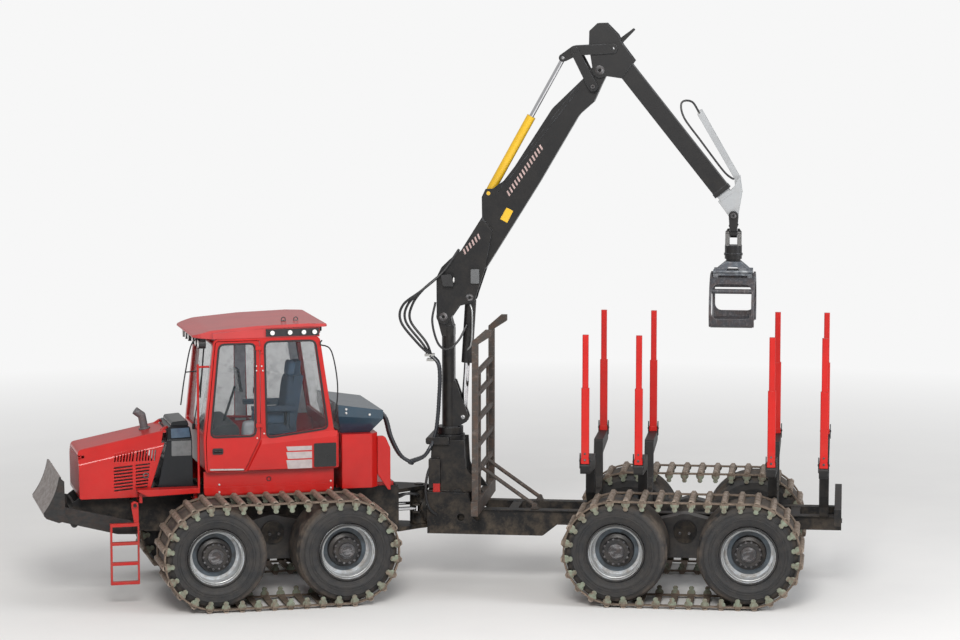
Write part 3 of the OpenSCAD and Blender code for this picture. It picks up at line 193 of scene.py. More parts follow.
def middle(n, inside, outside):
    """One colour on the blade's own plate and another on its side plates and arms."""
    place = n.axes(TRACTOR)
    between = n.ramp(n.math("ABSOLUTE", place[1]), *PLATE_Y)
    return n.mix(n.math("MULTIPLY", between, n.ramp(place[0], *PLATE_X)), outside, inside)


def worn(name, colour, steel, wear=0.5, rusty=0.3, rough=0.5, metal=0.6, streak=(1, 1, 2.5)):
    """Steel with what is left of its paint, rubbed bright in streaks and rusty in patches."""
    n = Nodes(name)
    colour = colour(n) if callable(colour) else colour
    steel = steel(n) if callable(steel) else steel
    edges = n.surface(n.noise(60, 5), 0.001, 0.4)
    bare = n.ramp(n.noise(7, 8, 0.7, streak), 0.66 - 0.3 * wear, 0.8 - 0.25 * wear, 0, 0.85)
    bare = n.math("MAXIMUM", bare, n.math("MULTIPLY", edges, 0.7))
    red = n.math("MULTIPLY", n.ramp(n.noise(11, 9, 0.75), 0.45, 0.62), rusty)
    n.set(n.shader.inputs["Base Color"], n.mix(red, n.mix(bare, colour, steel), RUST))
    n.set(n.shader.inputs["Roughness"], n.ramp(red, 0, 0.6, rough, 0.85))
    shine = n.math("MULTIPLY", n.ramp(bare, 0, 1, 0.15, metal), n.ramp(red, 0, 1, 1, 0.2))
    n.set(n.shader.inputs["Metallic"], shine)
    return n.mat


def length_of(n, a, b):
    """The length of a flat vector, as a node."""
    return n.math("SQRT", n.math("ADD", n.math("MULTIPLY", a, a), n.math("MULTIPLY", b, b)))


def wheel_radius(n, axes, pivot_x, flat=False):
    """Distance from the nearer wheel's centre or, with flat, from the line that joins the two centres."""
    x, _, z = n.axes(axes)
    along = n.math("SUBTRACT", n.math("ABSOLUTE", n.math("SUBTRACT", x, pivot_x)), BOGIE_HALF)
    if flat:
        along = n.math("MAXIMUM", along, 0.0)
    return length_of(n, along, n.math("SUBTRACT", z, WHEEL_Z))


# Distances from the wheels' centres between which the lugs' tips and the ears inside the loop turn bright
LUG_TIP = (0.672, 0.698)
SHOE_EAR = (0.652, 0.645)


def track_steel(name, axes, pivot_x):
    """Steel that is rubbed bright on the lugs' tips and caked with mud between them."""
    pale, dark, ear_green = (0.42, 0.35, 0.29), (0.24, 0.19, 0.15), (0.24, 0.29, 0.22)
    mud_dark, mud_pale = (0.1, 0.075, 0.055), (0.2, 0.15, 0.115)
    n = Nodes(name)
    radius = wheel_radius(n, axes, pivot_x, flat=True)
    edges = n.surface(n.noise(24, 9, 0.7), 0.004, 0.6, 0.008)
    tip = n.math("MAXIMUM", n.ramp(radius, *LUG_TIP), n.math("MULTIPLY", edges, 0.8))
    ear = n.ramp(radius, *SHOE_EAR)
    patch = n.ramp(n.noise(13, 9, 0.72), 0.38, 0.6)
    bright = n.mix(n.ramp(n.noise(30, 6), 0.4, 0.62), pale, dark)
    bright = n.mix(ear, bright, ear_green)
    mud = n.mix(n.ramp(n.noise(16, 8), 0.35, 0.65), mud_dark, mud_pale)
    clean = n.math("MULTIPLY", n.math("MAXIMUM", tip, n.math("MULTIPLY", ear, 0.85)), patch)
    n.set(n.shader.inputs["Base Color"], n.mix(clean, mud, bright))
    n.set(n.shader.inputs["Roughness"], n.ramp(clean, 0, 1, 0.9, 0.45))
    n.set(n.shader.inputs["Metallic"], n.ramp(clean, 0, 1, 0.0, 0.45))
    return n.mat


# Where the beam ends and a wheel starts, then a wheel's hub, its rim's flange and that flange's outer side
WHEEL_INSIDE = (0.79, 0.795)
HUB_EDGE = (0.222, 0.228)
FLANGE_EDGE = (0.278, 0.284)
RIM_OUTSIDE = (WHEEL_Y + 0.06, WHEEL_Y + 0.07)


def bogie_steel(name, axes, pivot_x, side):
    """Near-black beam, black hubs, blue-grey discs and silver rims, told apart by their places."""
    n = Nodes(name)
    radius = wheel_radius(n, axes, pivot_x)
    outward = n.math("MULTIPLY", n.axes(axes)[1], side)
    wheel = n.ramp(outward, *WHEEL_INSIDE)
    disc = n.ramp(radius, *HUB_EDGE)
    flange = n.ramp(radius, *FLANGE_EDGE)
    outer = n.ramp(outward, *RIM_OUTSIDE)
    black = n.mix(n.ramp(n.noise(5, 8, 0.7), 0.4, 0.7), (0.016, 0.016, 0.018), (0.05, 0.042, 0.036))
    barrel = n.mix(n.ramp(n.noise(7, 6), 0.4, 0.65), (0.1, 0.125, 0.15), (0.06, 0.065, 0.07))
    silver = n.mix(n.ramp(n.noise(10, 8, 0.7), 0.42, 0.68), (0.6, 0.63, 0.66), (0.36, 0.33, 0.3))
    rim = n.mix(n.math("MULTIPLY", flange, outer), barrel, silver)
    face = n.mix(disc, black, rim)
    n.set(n.shader.inputs["Base Color"], n.mix(wheel, black, face))
    n.shader.inputs["Roughness"].default_value = 0.42
    n.set(n.shader.inputs["Metallic"], n.math("MULTIPLY", n.math("MULTIPLY", wheel, disc), 0.35))
    n.surface(n.noise(50, 5), 0.001, 0.4)
    return n.mat


# Where a tyre's tread starts, and the fine ribs round its sidewall
TREAD = (0.57, 0.65)
RIB_R, RIB_HALF, RIB_WAVES = 0.41, 0.028, 330.0


def rubber(name, axes, pivot_x):
    """Tyre rubber, dark at the sidewall, with dry dust and mud that thicken towards the tread."""
    n = Nodes(name)
    radius = wheel_radius(n, axes, pivot_x)
    tread = n.ramp(radius, *TREAD)
    dust = n.ramp(n.noise(9, 9, 0.7), 0.42, 0.66, 0, 0.5)
    cake = n.math("MULTIPLY", n.ramp(n.noise(5, 10, 0.72), 0.4, 0.58), n.math("ADD", tread, 0.12))
    base = n.mix(dust, (0.014, 0.015, 0.017), (0.042, 0.037, 0.033))
    mud = n.mix(n.noise(20, 6), (0.055, 0.042, 0.032), (0.13, 0.105, 0.085))
    n.set(n.shader.inputs["Base Color"], n.mix(cake, base, mud))
    n.set(n.shader.inputs["Roughness"], n.ramp(cake, 0, 1, 0.62, 0.95))
    waves = n.math("MULTIPLY", n.math("SINE", n.math("MULTIPLY", radius, RIB_WAVES)), 0.5)
    near = n.math("LESS_THAN", n.math("ABSOLUTE", n.math("SUBTRACT", radius, RIB_R)), RIB_HALF)
    n.surface(n.math("ADD", n.noise(30, 8, 0.7), n.math("MULTIPLY", waves, near)), 0.004, 0.6, 0.006)
    return n.mat


def plain(name, colour, rough=0.5, metal=0.0, vary=0.12, bump=0.0004, coat=0.0):
    """A small part's material, a little uneven in colour and roughness."""
    n = Nodes(name)
    darker = tuple(c * (1 - vary * 2) for c in colour)
    n.set(n.shader.inputs["Base Color"], n.mix(n.ramp(n.noise(12, 6), 0.35, 0.65), colour, darker))
    n.set(n.shader.inputs["Roughness"], n.ramp(n.noise(20, 4), 0.3, 0.7, rough * 0.85, min(1, rough * 1.15)))
    n.shader.inputs["Metallic"].default_value = metal
    n.shader.inputs["Coat Weight"].default_value = coat
    n.surface(n.noise(70, 3), bump, 0.3, 0.004)
    return n.mat


def pane(name, colour, alpha):
    """Thin tinted glass that shows the cab behind it, with a little dirt."""
    n = Nodes(name)
    dirt = n.ramp(n.noise(9, 8, 0.7), 0.5, 0.8, 0, 0.2)
    n.set(n.shader.inputs["Base Color"], n.mix(dirt, colour, DUST))
    n.set(n.shader.inputs["Alpha"], n.math("ADD", dirt, alpha))
    n.shader.inputs["Roughness"].default_value = 0.03
    n.shader.inputs["Specular IOR Level"].default_value = 0.7
    return n.mat


# Edge colours of the paints below: painted highlights as well as rubbed paint
GREY_RUB_AND_HIGHLIGHT = (0.3, 0.32, 0.36)
RED = paint("red_paint", (0.5, 0.008, 0.006), rough=0.34, dust=0.3, coat=0.25, edge=(0.7, 0.1, 0.09),
            rub_and_highlight=0.15, shine=0.35)
ROOF_RED = paint("roof_red", (0.52, 0.03, 0.03), rough=0.42, dust=0.1, coat=0.6, edge=(0.1, 0.12, 0.2),
                 rub_and_highlight=0.4)
STAKE_RED = paint("stake_red", (0.56, 0.009, 0.006), rough=0.45, dust=0.4, dust_top=2.2, coat=0.05,
                  edge=(0.5, 0.15, 0.12), rub_and_highlight=0.2, shine=0.3)
BLACK = paint("black_paint", (0.01, 0.01, 0.011), rough=0.42, dust=0.45, dust_top=2.2, coat=0.05,
              edge=GREY_RUB_AND_HIGHLIGHT, rub_and_highlight=0.3, shine=0.3)
CRANE = paint("crane_paint", (0.009, 0.009, 0.01), rough=0.36, dust=0.14, dust_top=6.0, coat=0.08,
              edge=GREY_RUB_AND_HIGHLIGHT, rub_and_highlight=0.5, shine=0.35)
FRAME = paint("frame_paint", (0.009, 0.009, 0.01), rough=0.5, dust=0.5, dust_top=1.5, coat=0.0,
              edge=GREY_RUB_AND_HIGHLIGHT, rub_and_highlight=0.25, shine=0.3)
COWL = paint("cowl_black", (0.01, 0.012, 0.015), rough=0.2, dust=0.1, coat=0.1, shine=0.25)
BLUE = paint("blue_black_paint", (0.02, 0.05, 0.08), rough=0.22, dust=0.25, dust_top=2.6, coat=0.4)
YELLOW = paint("yellow_paint", (0.78, 0.47, 0.015), rough=0.35, dust=0.3, dust_top=9.0)
WHITE = paint("white_paint", (0.4, 0.415, 0.43), rough=0.5, dust=0.3, dust_top=9.0, coat=0.0)
HEAD = worn("headboard_steel", (0.055, 0.048, 0.043), steel=(0.2, 0.17, 0.15), wear=0.4, rusty=0.35,
            rough=0.65, metal=0.3)
BLADE = worn("blade_steel", lambda n: middle(n, (0.21, 0.185, 0.175), (0.012, 0.012, 0.013)),
             steel=lambda n: middle(n, (0.36, 0.33, 0.32), (0.03, 0.03, 0.03)),
             wear=0.8, rusty=0.12, rough=0.6, metal=0.3)
JAW = worn("jaw_steel", (0.075, 0.09, 0.11), steel=(0.36, 0.38, 0.4), wear=0.6, rusty=0.15)
JAW_PLATE = worn("jaw_plate", (0.045, 0.047, 0.055), steel=(0.2, 0.2, 0.21), wear=0.5, rusty=0.2,
                 streak=(6, 6, 0.6))
EXHAUST = worn("exhaust_steel", (0.12, 0.12, 0.13), steel=(0.3, 0.3, 0.31), wear=0.35, rusty=0.3, rough=0.55)
PINS = worn("pin_steel", (0.035, 0.035, 0.038), steel=(0.3, 0.3, 0.31), wear=0.5, rusty=0.15)
CHROME = plain("chrome_rod", (0.75, 0.75, 0.77), rough=0.12, metal=1.0, vary=0.04)
IRON = plain("engine_iron", (0.12, 0.12, 0.12), rough=0.6, metal=0.3)
CLOTH = plain("seat_cloth", (0.07, 0.11, 0.17), rough=0.9, bump=0.002)
CLOTH_BLUE = plain("seat_blue", (0.12, 0.2, 0.31), rough=0.9, bump=0.002)
PLASTIC = plain("black_plastic", (0.02, 0.02, 0.022), rough=0.5)
SEAL = plain("seal_rubber", (0.012, 0.012, 0.014), rough=0.55)
HOSE = plain("hose_rubber", (0.022, 0.022, 0.024), rough=0.42)
WRAP = plain("hose_wrap", (0.03, 0.033, 0.04), rough=0.3, coat=0.3)
PIPE = plain("light_pipe", (0.42, 0.43, 0.43), rough=0.4, metal=0.5)
FITTING = plain("fitting_steel", (0.55, 0.55, 0.53), rough=0.3, metal=0.9)
LENS = plain("lamp_lens", (0.82, 0.82, 0.8), rough=0.12, vary=0.04)
# Black for the discs in the pin ends: painted shade of their holes
HOLE_SHADE = plain("painted_hole_shade", (0.004, 0.004, 0.004), rough=0.9)
BOLT = plain("bolt_white", (0.68, 0.67, 0.66), rough=0.35, metal=0.3)
STRIPE = plain("grey_stripe", (0.46, 0.4, 0.4), rough=0.4, coat=0.3)
SIGN_BLACK = plain("gloss_black", (0.006, 0.007, 0.008), rough=0.25, coat=0.1)
GREY_PANEL = plain("grey_panel", (0.13, 0.135, 0.14), rough=0.25, coat=0.4)
BAND = plain("blue_band", (0.07, 0.115, 0.17), rough=0.2, coat=0.5)
HASH = plain("hash_pink", (0.5, 0.36, 0.34), rough=0.45)
INSIDE = plain("cab_grey", (0.62, 0.68, 0.73), rough=0.7)
DASH = plain("dash_grey", (0.05, 0.055, 0.06), rough=0.6)
GLASS = pane("pane", (0.03, 0.045, 0.055), 0.2)

LOOKS = {
    RED: ["cab_shell", "side_skirts", "rear_tank", "step_tray", "hood", "grille", "cab_door", "ladder"],
    ROOF_RED: ["cab_roof"],
    STAKE_RED: ["stakes"],
    BLACK: ["mid_joint", "blade_barrel", "steer_barrel_left", "steer_barrel_right", "crane_base"],
    CRANE: ["column", "boom", "lift_barrel", "strut", "top_link", "arm", "tip_link", "rotator"],
    FRAME: ["front_frame", "rear_frame", "bunks"],
    COWL: ["cowl"],
    BLUE: ["rear_box"],
    YELLOW: ["arm_barrel"],
    WHITE: ["extension"],
    HEAD: ["headboard"],
    BLADE: ["blade"],
    EXHAUST: ["exhaust"],
    JAW: ["grapple_frame"],
    JAW_PLATE: ["jaw_left", "jaw_right"],
    CHROME: ["blade_rod", "steer_rod_left", "steer_rod_right", "lift_rod", "arm_rod"],
    GLASS: ["cab_glass", "door_glass"],
    CLOTH: ["seat"],
    PLASTIC: ["work_lamps"],
    IRON: ["engine"],
}
TYRES = {}
for end, axes, side, x in BOGIES:
    TYRES[end] = rubber("tyre_rubber_" + end, axes, x)
    LOOKS[TYRES[end]] = ["tyres_" + end]
    LOOKS[track_steel("track_steel_" + end, axes, x)] = ["track_" + end]
    LOOKS[bogie_steel("bogie_steel_" + end, axes, x, side)] = ["bogie_" + end]
for material, names in LOOKS.items():
    for name in names:
        node = frame["nodes"][name]
        node.data.materials.clear()
        node.data.materials.append(material)

# SMALL PIECES


def curve(points, step=0.03):
    """Points about a step apart on a smooth line through the given ones."""
    p = [Vector(q) for q in points]
    p = [2 * p[0] - p[1]] + p + [2 * p[-1] - p[-2]]
    line = [p[1]]
    for a, b, c, d in zip(p, p[1:], p[2:], p[3:]):
        n = max(1, round((c - b).length / step))
        for i in range(1, n + 1):
            t = i / n
            bend = (c - a) * t + (2 * a - 5 * b + 4 * c - d) * t ** 2 + (3 * b - 3 * c + d - a) * t ** 3
            line.append(0.5 * (2 * b + bend))
    return line


class Shape:
    """One mesh drawn from plain forms in a body's axes."""

    def __init__(self, axes=TRACTOR):
        self.axes = axes
        self.bm = bmesh.new()

    def mesh(self, points, faces):
        made = [self.bm.verts.new(self.axes @ Vector(p)) for p in points]
        for face in faces:
            self.bm.faces.new([made[i] for i in face])
        return self

    def rings(self, rings, closed=False):
        """A skin over rings of equally many points, closed in a circle or capped at both ends."""
        n = len(rings[0])
        faces = []
        for i in range(len(rings) - (0 if closed else 1)):
            a, b = i * n, (i + 1) % len(rings) * n
            faces += [(a + j, a + (j + 1) % n, b + (j + 1) % n, b + j) for j in range(n)]
        if not closed:
            faces += [tuple(range(n))[::-1], tuple(range((len(rings) - 1) * n, len(rings) * n))]
        return self.mesh([p for ring in rings for p in ring], faces)

    def prism(self, outline, y0, y1):
        """An outline in X and Z, from y0 to y1."""
        return self.rings([[(x, y, z) for x, z in outline] for y in (y0, y1)])

    def frame(self, outer, inner, y0, y1):
        """A flat frame between two outlines of equally many points in X and Z."""
        loops = [(outer, y0), (outer, y1), (inner, y1), (inner, y0)]
        return self.rings([[(x, y, z) for x, z in o] for o, y in loops], closed=True)

    def box(self, low, high):
        """A block between two opposite corners."""
        (x0, y0, z0), (x1, y1, z1) = low, high
        return self.prism([(x0, z0), (x1, z0), (x1, z1), (x0, z1)], y0, y1)

    def lathe(self, centre, axis, profile, sides=24):
        """A profile of radius and distance along the axis, turned about it."""
        axis = Vector(axis).normalized()
        u = axis.orthogonal().normalized()
        v = axis.cross(u)
        ring = [u * math.cos(math.tau * i / sides) + v * math.sin(math.tau * i / sides) for i in range(sides)]
        return self.rings([[Vector(centre) + axis * t + d * r for d in ring] for r, t in profile])

    def rod(self, a, b, r, sides=12):
        """A round bar from a to b."""
        a, b = Vector(a), Vector(b)
        return self.lathe(a, b - a, [(r, 0), (r, (b - a).length)], sides)

    def bolt(self, at, axis=(0, 1, 0), r=0.014, high=0.012):
        """A bolt's head with a chamfer."""
        return self.lathe(at, axis, [(r, 0), (r, high * 0.7), (r * 0.7, high)], 8)

    def ring(self, centre, axis, r, thick, sides=28):
        """A round ring of radius r that is 2 * thick through."""
        axis = Vector(axis).normalized()
        u = axis.orthogonal().normalized()
        v = axis.cross(u)
        turn = [math.tau * j / 8 for j in range(8)]
        rings = []
        for i in range(sides):
            out = u * math.cos(math.tau * i / sides) + v * math.sin(math.tau * i / sides)
            core = Vector(centre) + out * r
            rings.append([core + out * thick * math.cos(t) + axis * thick * math.sin(t) for t in turn])
        return self.rings(rings, closed=True)

    def tube(self, line, r, sides=10):
        """A round tube along a line of points; r is a radius or a function of the point's number."""
        size = r if callable(r) else lambda i: r
        ahead = (line[1] - line[0]).normalized()
        side = ahead.orthogonal().normalized()
        rings = []
        for i, p in enumerate(line):
            ahead = (line[min(i + 1, len(line) - 1)] - line[max(i - 1, 0)]).normalized()
            side = (side - ahead * side.dot(ahead)).normalized()
            up = ahead.cross(side)
            turn = [math.tau * j / sides for j in range(sides)]
            rings.append([p + (side * math.cos(t) + up * math.sin(t)) * size(i) for t in turn])
        return self.rings(rings)

    def pillow(self, centre, size, lean=0.0):
        """A soft block: a ball pushed out towards its box, leaning back about Y."""
        across, along, square = 28, 16, 0.45

        def grow(v):
            return math.copysign(abs(v) ** square, v)

        turn = Matrix.Rotation(lean, 3, "Y")
        rings = []
        for i in range(1, along):
            a = math.pi * i / along - math.pi / 2
            ring = []
            for j in range(across):
                b = math.tau * j / across
                wide = grow(math.cos(a))
                p = (wide * grow(math.cos(b)), wide * grow(math.sin(b)), grow(math.sin(a)))
                ring.append(Vector(centre) + turn @ Vector([c * s / 2 for c, s in zip(p, size)]))
            rings.append(ring)
        return self.rings(rings)

    def done(self, name, material, body, smooth=35):
        """The finished object, sharp at edges of more than smooth degrees, riding on body if one is given."""
        mesh = bpy.data.meshes.new(name)
        bmesh.ops.recalc_face_normals(self.bm, faces=self.bm.faces)
        for face in self.bm.faces:
            face.smooth = True
        for edge in self.bm.edges:
            edge.smooth = len(edge.link_faces) == 2 and edge.calc_face_angle() < math.radians(smooth)
        self.bm.to_mesh(mesh)
        self.bm.free()
        mesh.materials.append(material)
        obj = bpy.data.objects.new(name, mesh)
        bpy.context.scene.collection.objects.link(obj)
        if body:
            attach(obj, body)
        return obj


def plate(name, outline, y0, y1, material, body, axes=TRACTOR):
    """A flat piece with an outline in X and Z."""
    return Shape(axes).prism(outline, y0, y1).done(name, material, body)


def rounded_box(x0, z0, x1, z1, r, n=4):
    """A rectangle in X and Z with round corners."""
    corners = [(x0 + r, z0 + r, 180), (x1 - r, z0 + r, 270), (x1 - r, z1 - r, 0), (x0 + r, z1 - r, 90)]
    out = []
    for x, z, first in corners:
        for i in range(n + 1):
            a = math.radians(first + 90 * i / n)
            out.append((x + r * math.cos(a), z + r * math.sin(a)))
    return out


def grown(outline, d):
    """An anticlockwise outline with every side moved out by d."""
    out = []
    for i, (x, z) in enumerate(outline):
        (xa, za), (xb, zb) = outline[i - 1], outline[(i + 1) % len(outline)]
        n1, n2 = Vector((z - za, xa - x)).normalized(), Vector((zb - z, x - xb)).normalized()
        k = (n1 + n2) / (1 + n1.dot(n2))
        out.append((x + k.x * d, z + k.y * d))
    return out


def softened(outline, r, n=3):
    """An anticlockwise outline with its corners rounded."""
    out = []
    for i, p in enumerate(outline):
        p, a, b = Vector(p), Vector(outline[i - 1]), Vector(outline[(i + 1) % len(outline)])
        a, b = (a - p), (b - p)
        ka, kb = min(r, a.length * 0.45), min(r, b.length * 0.45)
        p0, p2 = p + a.normalized() * ka, p + b.normalized() * kb
        for j in range(n + 1):
            t = j / n
            q = p0 * (1 - t) ** 2 + p * 2 * t * (1 - t) + p2 * t * t
            out.append((q.x, q.y))
    return out


def hose(name, points, r, axes, bodies, material=HOSE, ribbed=False):
    """A free hose between two places on the machine. It rides on its body if it has one, and is left on no
    body if it spans two.
    """
    line = curve(points, 0.02 if ribbed else 0.03)
    size = (lambda i: r if i % 2 else r * 0.86) if ribbed else r
    obj = Shape(axes).tube(line, size, 12 if ribbed else 8).done(name, material, None)
    if len(bodies) == 2:
        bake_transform(obj)
    else:
        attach(obj, bodies[0])


# CAB AND HOOD

# The door's and the rear side window's glass, in X and Z
DOOR_GLASS = [(2.345, 2.16), (2.902, 2.16), (2.786, 3.33), (2.345, 3.33)]
SIDE_GLASS = [(1.4, 2.225), (2.175, 2.13), (2.195, 3.35), (1.562, 3.35)]

# Distances to the side: the cab's wall, the panel below its window, the skirts with their fold, and the hood
CAB_Y = 0.82
HIP_Y = 0.858
SKIRT_Y = 0.735
FOLD = 0.006
HOOD_Y = 0.55

# Lamp glasses, as radius and distance along the lamp's axis
FRONT_LENS = [(0.052, 0), (0.05, 0.004), (0.03, 0.01), (0.008, 0.012)]
REAR_LENS = [(0.033, 0), (0.03, 0.004), (0.01, 0.008)]
SIDE_LENS = [(0.031, 0), (0.028, 0.004), (0.01, 0.008)]


def seal(name, outline, body):
    """The rubber round a window of the cab's left side."""
    soft = softened(outline, 0.06)
    ring = Shape().frame(grown(soft, 0.026), grown(soft, 0.001), CAB_Y - 0.004, CAB_Y + 0.005)
    ring.done(name, SEAL, body)


def cab_bolts(name, places, r, body):
    """Bolts on the cab's left side."""
    bolts = Shape()
    for x, z in places:
        bolts.bolt((x, CAB_Y, z), r=r)
    bolts.done(name, BOLT, body)


def add_cab_side():
    """Window rubbers, the door's handle, and the strips and panel below the windows."""
    seal("door_seal", DOOR_GLASS, "cab_door")
    seal("side_seal", SIDE_GLASS, "tractor")
    handle = rounded_box(2.757, 1.925, 2.897, 2.005, 0.02)
    plate("handle_plate", handle, CAB_Y - 0.002, CAB_Y + 0.012, PLASTIC, "cab_door")
    grip_y = CAB_Y + 0.022
    grip = Shape().rod((2.775, grip_y, 1.965), (2.88, grip_y, 1.965), 0.014)
    grip.done("handle_grip", SIGN_BLACK, "cab_door")
    strip = [(2.493, 1.708), (2.93, 1.72), (2.93, 1.742), (2.493, 1.728)]
    plate("door_strip", strip, CAB_Y - 0.002, CAB_Y + 0.006, FITTING, "cab_door")
    stripes = Shape()
    for z0, z1 in ((1.944, 2.0), (1.839, 1.927), (1.71, 1.822)):
        stripes.prism([(1.608, z0), (1.925, z0), (1.945, z1), (1.608, z1)], HIP_Y - 0.001, HIP_Y + 0.002)
    stripes.done("side_stripes", STRIPE, "tractor")
    panel = rounded_box(1.29, 1.72, 1.582, 2.03, 0.015)
    plate("side_panel", panel, HIP_Y - 0.001, HIP_Y + 0.01, SIGN_BLACK, "tractor")


def add_skirts():
    """The skirts' folded lower edges with their bolts, and the bolts beside the door's hinges."""
    fold = [(1.31, 1.39), (2.99, 1.39), (2.99, 1.487), (1.31, 1.492)]
    for side, end in SIDES:
        y = side * SKIRT_Y
        plate("skirt_fold" + end, fold, y, y + side * FOLD, RED, "tractor")
        ring = Shape().ring((2.153, y + side * 0.002, 1.57), (0, 1, 0), 0.026, 0.006)
        ring.done("skirt_ring" + end, SEAL, "tractor")
        bolts = Shape()
        for x, z in ((2.8, 1.519), (1.34, 1.512)):
            bolts.bolt((x, y, z), (0, side, 0))
        for x, z in ((2.8, 1.423), (1.34, 1.421)):
            bolts.bolt((x, y + side * FOLD, z), (0, side, 0))
        bolts.done("skirt_bolts" + end, BOLT, "tractor")
    cab_bolts("pillar_bolts", ((2.25, 3.05), (2.234, 2.992), (2.224, 2.176)), 0.011, "tractor")
    cab_bolts("door_bolts", ((2.318, 3.053), (2.318, 2.995), (2.315, 2.12)), 0.01, "cab_door")


def add_roof():
    """Glasses of the lamps under the roof's edge, and the two lifting eyes on it."""
    lenses = Shape()
    for y in (-0.66, -0.42, -0.18, 0.18, 0.42, 0.66):
        lenses.lathe((3.043, y, 3.342), (1, 0, 0), FRONT_LENS)
    for y in (-0.48, -0.18, 0.18, 0.48):
        lenses.lathe((1.406, y, 3.482), (-1, 0, 0), REAR_LENS, 16)
    for side, _ in SIDES:
        for x in (1.56, 1.7, 1.88, 2.11):
            lenses.lathe((x, side * 0.845, 3.476), (0, side, 0), SIDE_LENS, 16)
    lenses.done("lamp_lenses", LENS, "tractor")
    eyes = Shape()
    for x in (1.734, 1.896):
        eyes.ring((x, 0.45, 3.605), (0, 1, 0), 0.026, 0.007, 20)
        eyes.box((x - 0.03, 0.43, 3.56), (x + 0.03, 0.47, 3.592))
    eyes.done("roof_eyes", PINS, "tractor")


def add_cab_rods():
    """The thin rods at the cab's front and rear corners, and the front wiper."""
    rear = [(1.46, 0.815, 3.36), (1.485, 0.835, 3.309), (1.344, 0.84, 3.222), (1.262, 0.835, 2.771),
            (1.29, 0.8, 2.3)]
    front = [(3.05, 0.7, 3.43), (3.157, 0.79, 3.33), (3.24, 0.8, 2.95), (3.296, 0.8, 2.58)]
    rods = Shape()
    for points in (rear, front):
        rods.tube(curve(points), 0.009)
    rods.rod((3.06, 0.715, 3.0), (3.225, 0.797, 3.0), 0.008)
    rods.done("cab_rods", SEAL, "tractor")
    wiper = Shape()
    wiper.rod((3.02, 0.05, 2.15), (3.02, 0.05, 2.22), 0.02)
    wiper.rod((3.02, 0.05, 2.19), (2.94, 0.34, 2.98), 0.007)
    wiper.rod((2.975, 0.33, 2.6), (2.922, 0.345, 3.25), 0.01)
    wiper.done("front_wiper", SEAL, "tractor")


def add_seat():
    """The seat's three cushions, its armrests and the levers on them."""
    lean, fill = -0.12, 0.85
    for name, material, centre, size, turn in (
        ("seat_cushion", CLOTH_BLUE, (1.98, 0, 2.27), (0.5, 0.52, 0.15), 0),
        ("seat_back", CLOTH, (1.77, 0, 2.55), (0.15, 0.5, 0.56), lean),
        ("headrest", CLOTH_BLUE, (1.735, 0, 2.91), (0.11, 0.28, 0.2), lean),
    ):
        Shape().pillow(centre, size, turn).done(name, material, "tractor")
    for side, end in SIDES:
        y = side * 0.33
        Shape().pillow((1.97, y, 2.42), (0.38, 0.09, 0.08)).done("armrest" + end, CLOTH, "tractor")
        stick = Shape().rod((2.12, y, 2.44), (2.14, y, 2.55), 0.022)
        stick.pillow((2.14, y, 2.58), (0.06, 0.05, 0.09))
        stick.rod((1.85, y, 2.4), (1.85, side * 0.27, 2.2), 0.02)
        stick.done("joystick" + end, PLASTIC, "tractor")


def add_cab_inside():
    """What shows through the glass: dash, console, screen and the lining of the far wall."""
    dash = [(2.58, 1.69), (2.9, 1.69), (2.93, 2.1), (2.8, 2.26), (2.55, 2.28), (2.5, 2.2)]
    plate("dash", softened(dash, 0.04), -0.6, 0.6, DASH, "tractor")
    Shape().pillow((2.36, 0.5, 2.0), (0.2, 0.2, 0.6)).done("console", INSIDE, "tractor")
    screen = Shape().prism([(2.42, 2.66), (2.46, 2.66), (2.5, 2.955), (2.46, 2.955)], 0.1, 0.34)
    screen.rod((2.5, 0.22, 2.72), (2.66, 0.22, 2.25), 0.016)
    screen.done("cab_screen", SIGN_BLACK, "tractor")
    far_wall = (-0.772, -0.74)
    lining = Shape()
    lining.box((2.2, far_wall[0], 2.13), (2.34, far_wall[1], 3.36))
    lining.prism([(1.37, 2.2), (1.49, 2.2), (1.65, 3.35), (1.55, 3.35)], *far_wall)
    lining.done("cab_lining", INSIDE, "tractor")
    grab = Shape().rod((2.044, -0.72, 2.17), (2.563, -0.72, 2.19), 0.016)
    for x in (2.06, 2.55):
        grab.rod((x, far_wall[0], 2.18), (x, -0.72, 2.18), 0.012)
    grab.done("cab_grab_rail", RED, "tractor")


def add_hood_and_cowl():
    panel = rounded_box(3.13, 1.885, 3.385, 2.08, 0.01)
    for side, end in SIDES:
        y = side * HOOD_Y
        ring = Shape().ring((3.72, y + side * 0.002, 1.645), (0, 1, 0), 0.032, 0.008)
        ring.done("hood_ring" + end, PINS, "hood")
        plate("cowl_panel" + end, panel, y - side * 0.001, y + side * 0.005, GREY_PANEL, "tractor")
        # A band on the cowl's sloping shoulder, where a point that is up more by dz is in by as much
        slope = ((3.14, 0.12), (3.385, 0.115), (3.375, 0.22), (3.14, 0.225))
        band = [(x, side * (HOOD_Y + 0.103 - dz), 2.0 + dz) for x, dz in slope]
        outer = [(x, yb + side * 0.004, z + 0.004) for x, yb, z in band]
        Shape().rings([band, outer]).done("cowl_band" + end, BAND, "tractor")
    lip = softened([(3.13, 2.245), (3.37, 2.245), (3.35, 2.3), (3.15, 2.315)], 0.02)
    plate("cowl_lip", lip, -0.36, 0.36, COWL, "tractor")
    bolts = Shape()
    for side, _ in SIDES:
        for x, z in ((0.821, 2.36), (1.13, 2.44), (1.13, 2.39)):
            bolts.bolt((x, side * SKIRT_Y, z), (0, side, 0), 0.016)
    bolts.done("box_bolts", BOLT, "tractor")


# WHEELS AND TRACKS

# The track's shoes, and the radius and length of the line through their middles
SHOES = 36
LOOP_R = 0.6553
LOOP = 4 * BOGIE_HALF + math.tau * LOOP_R

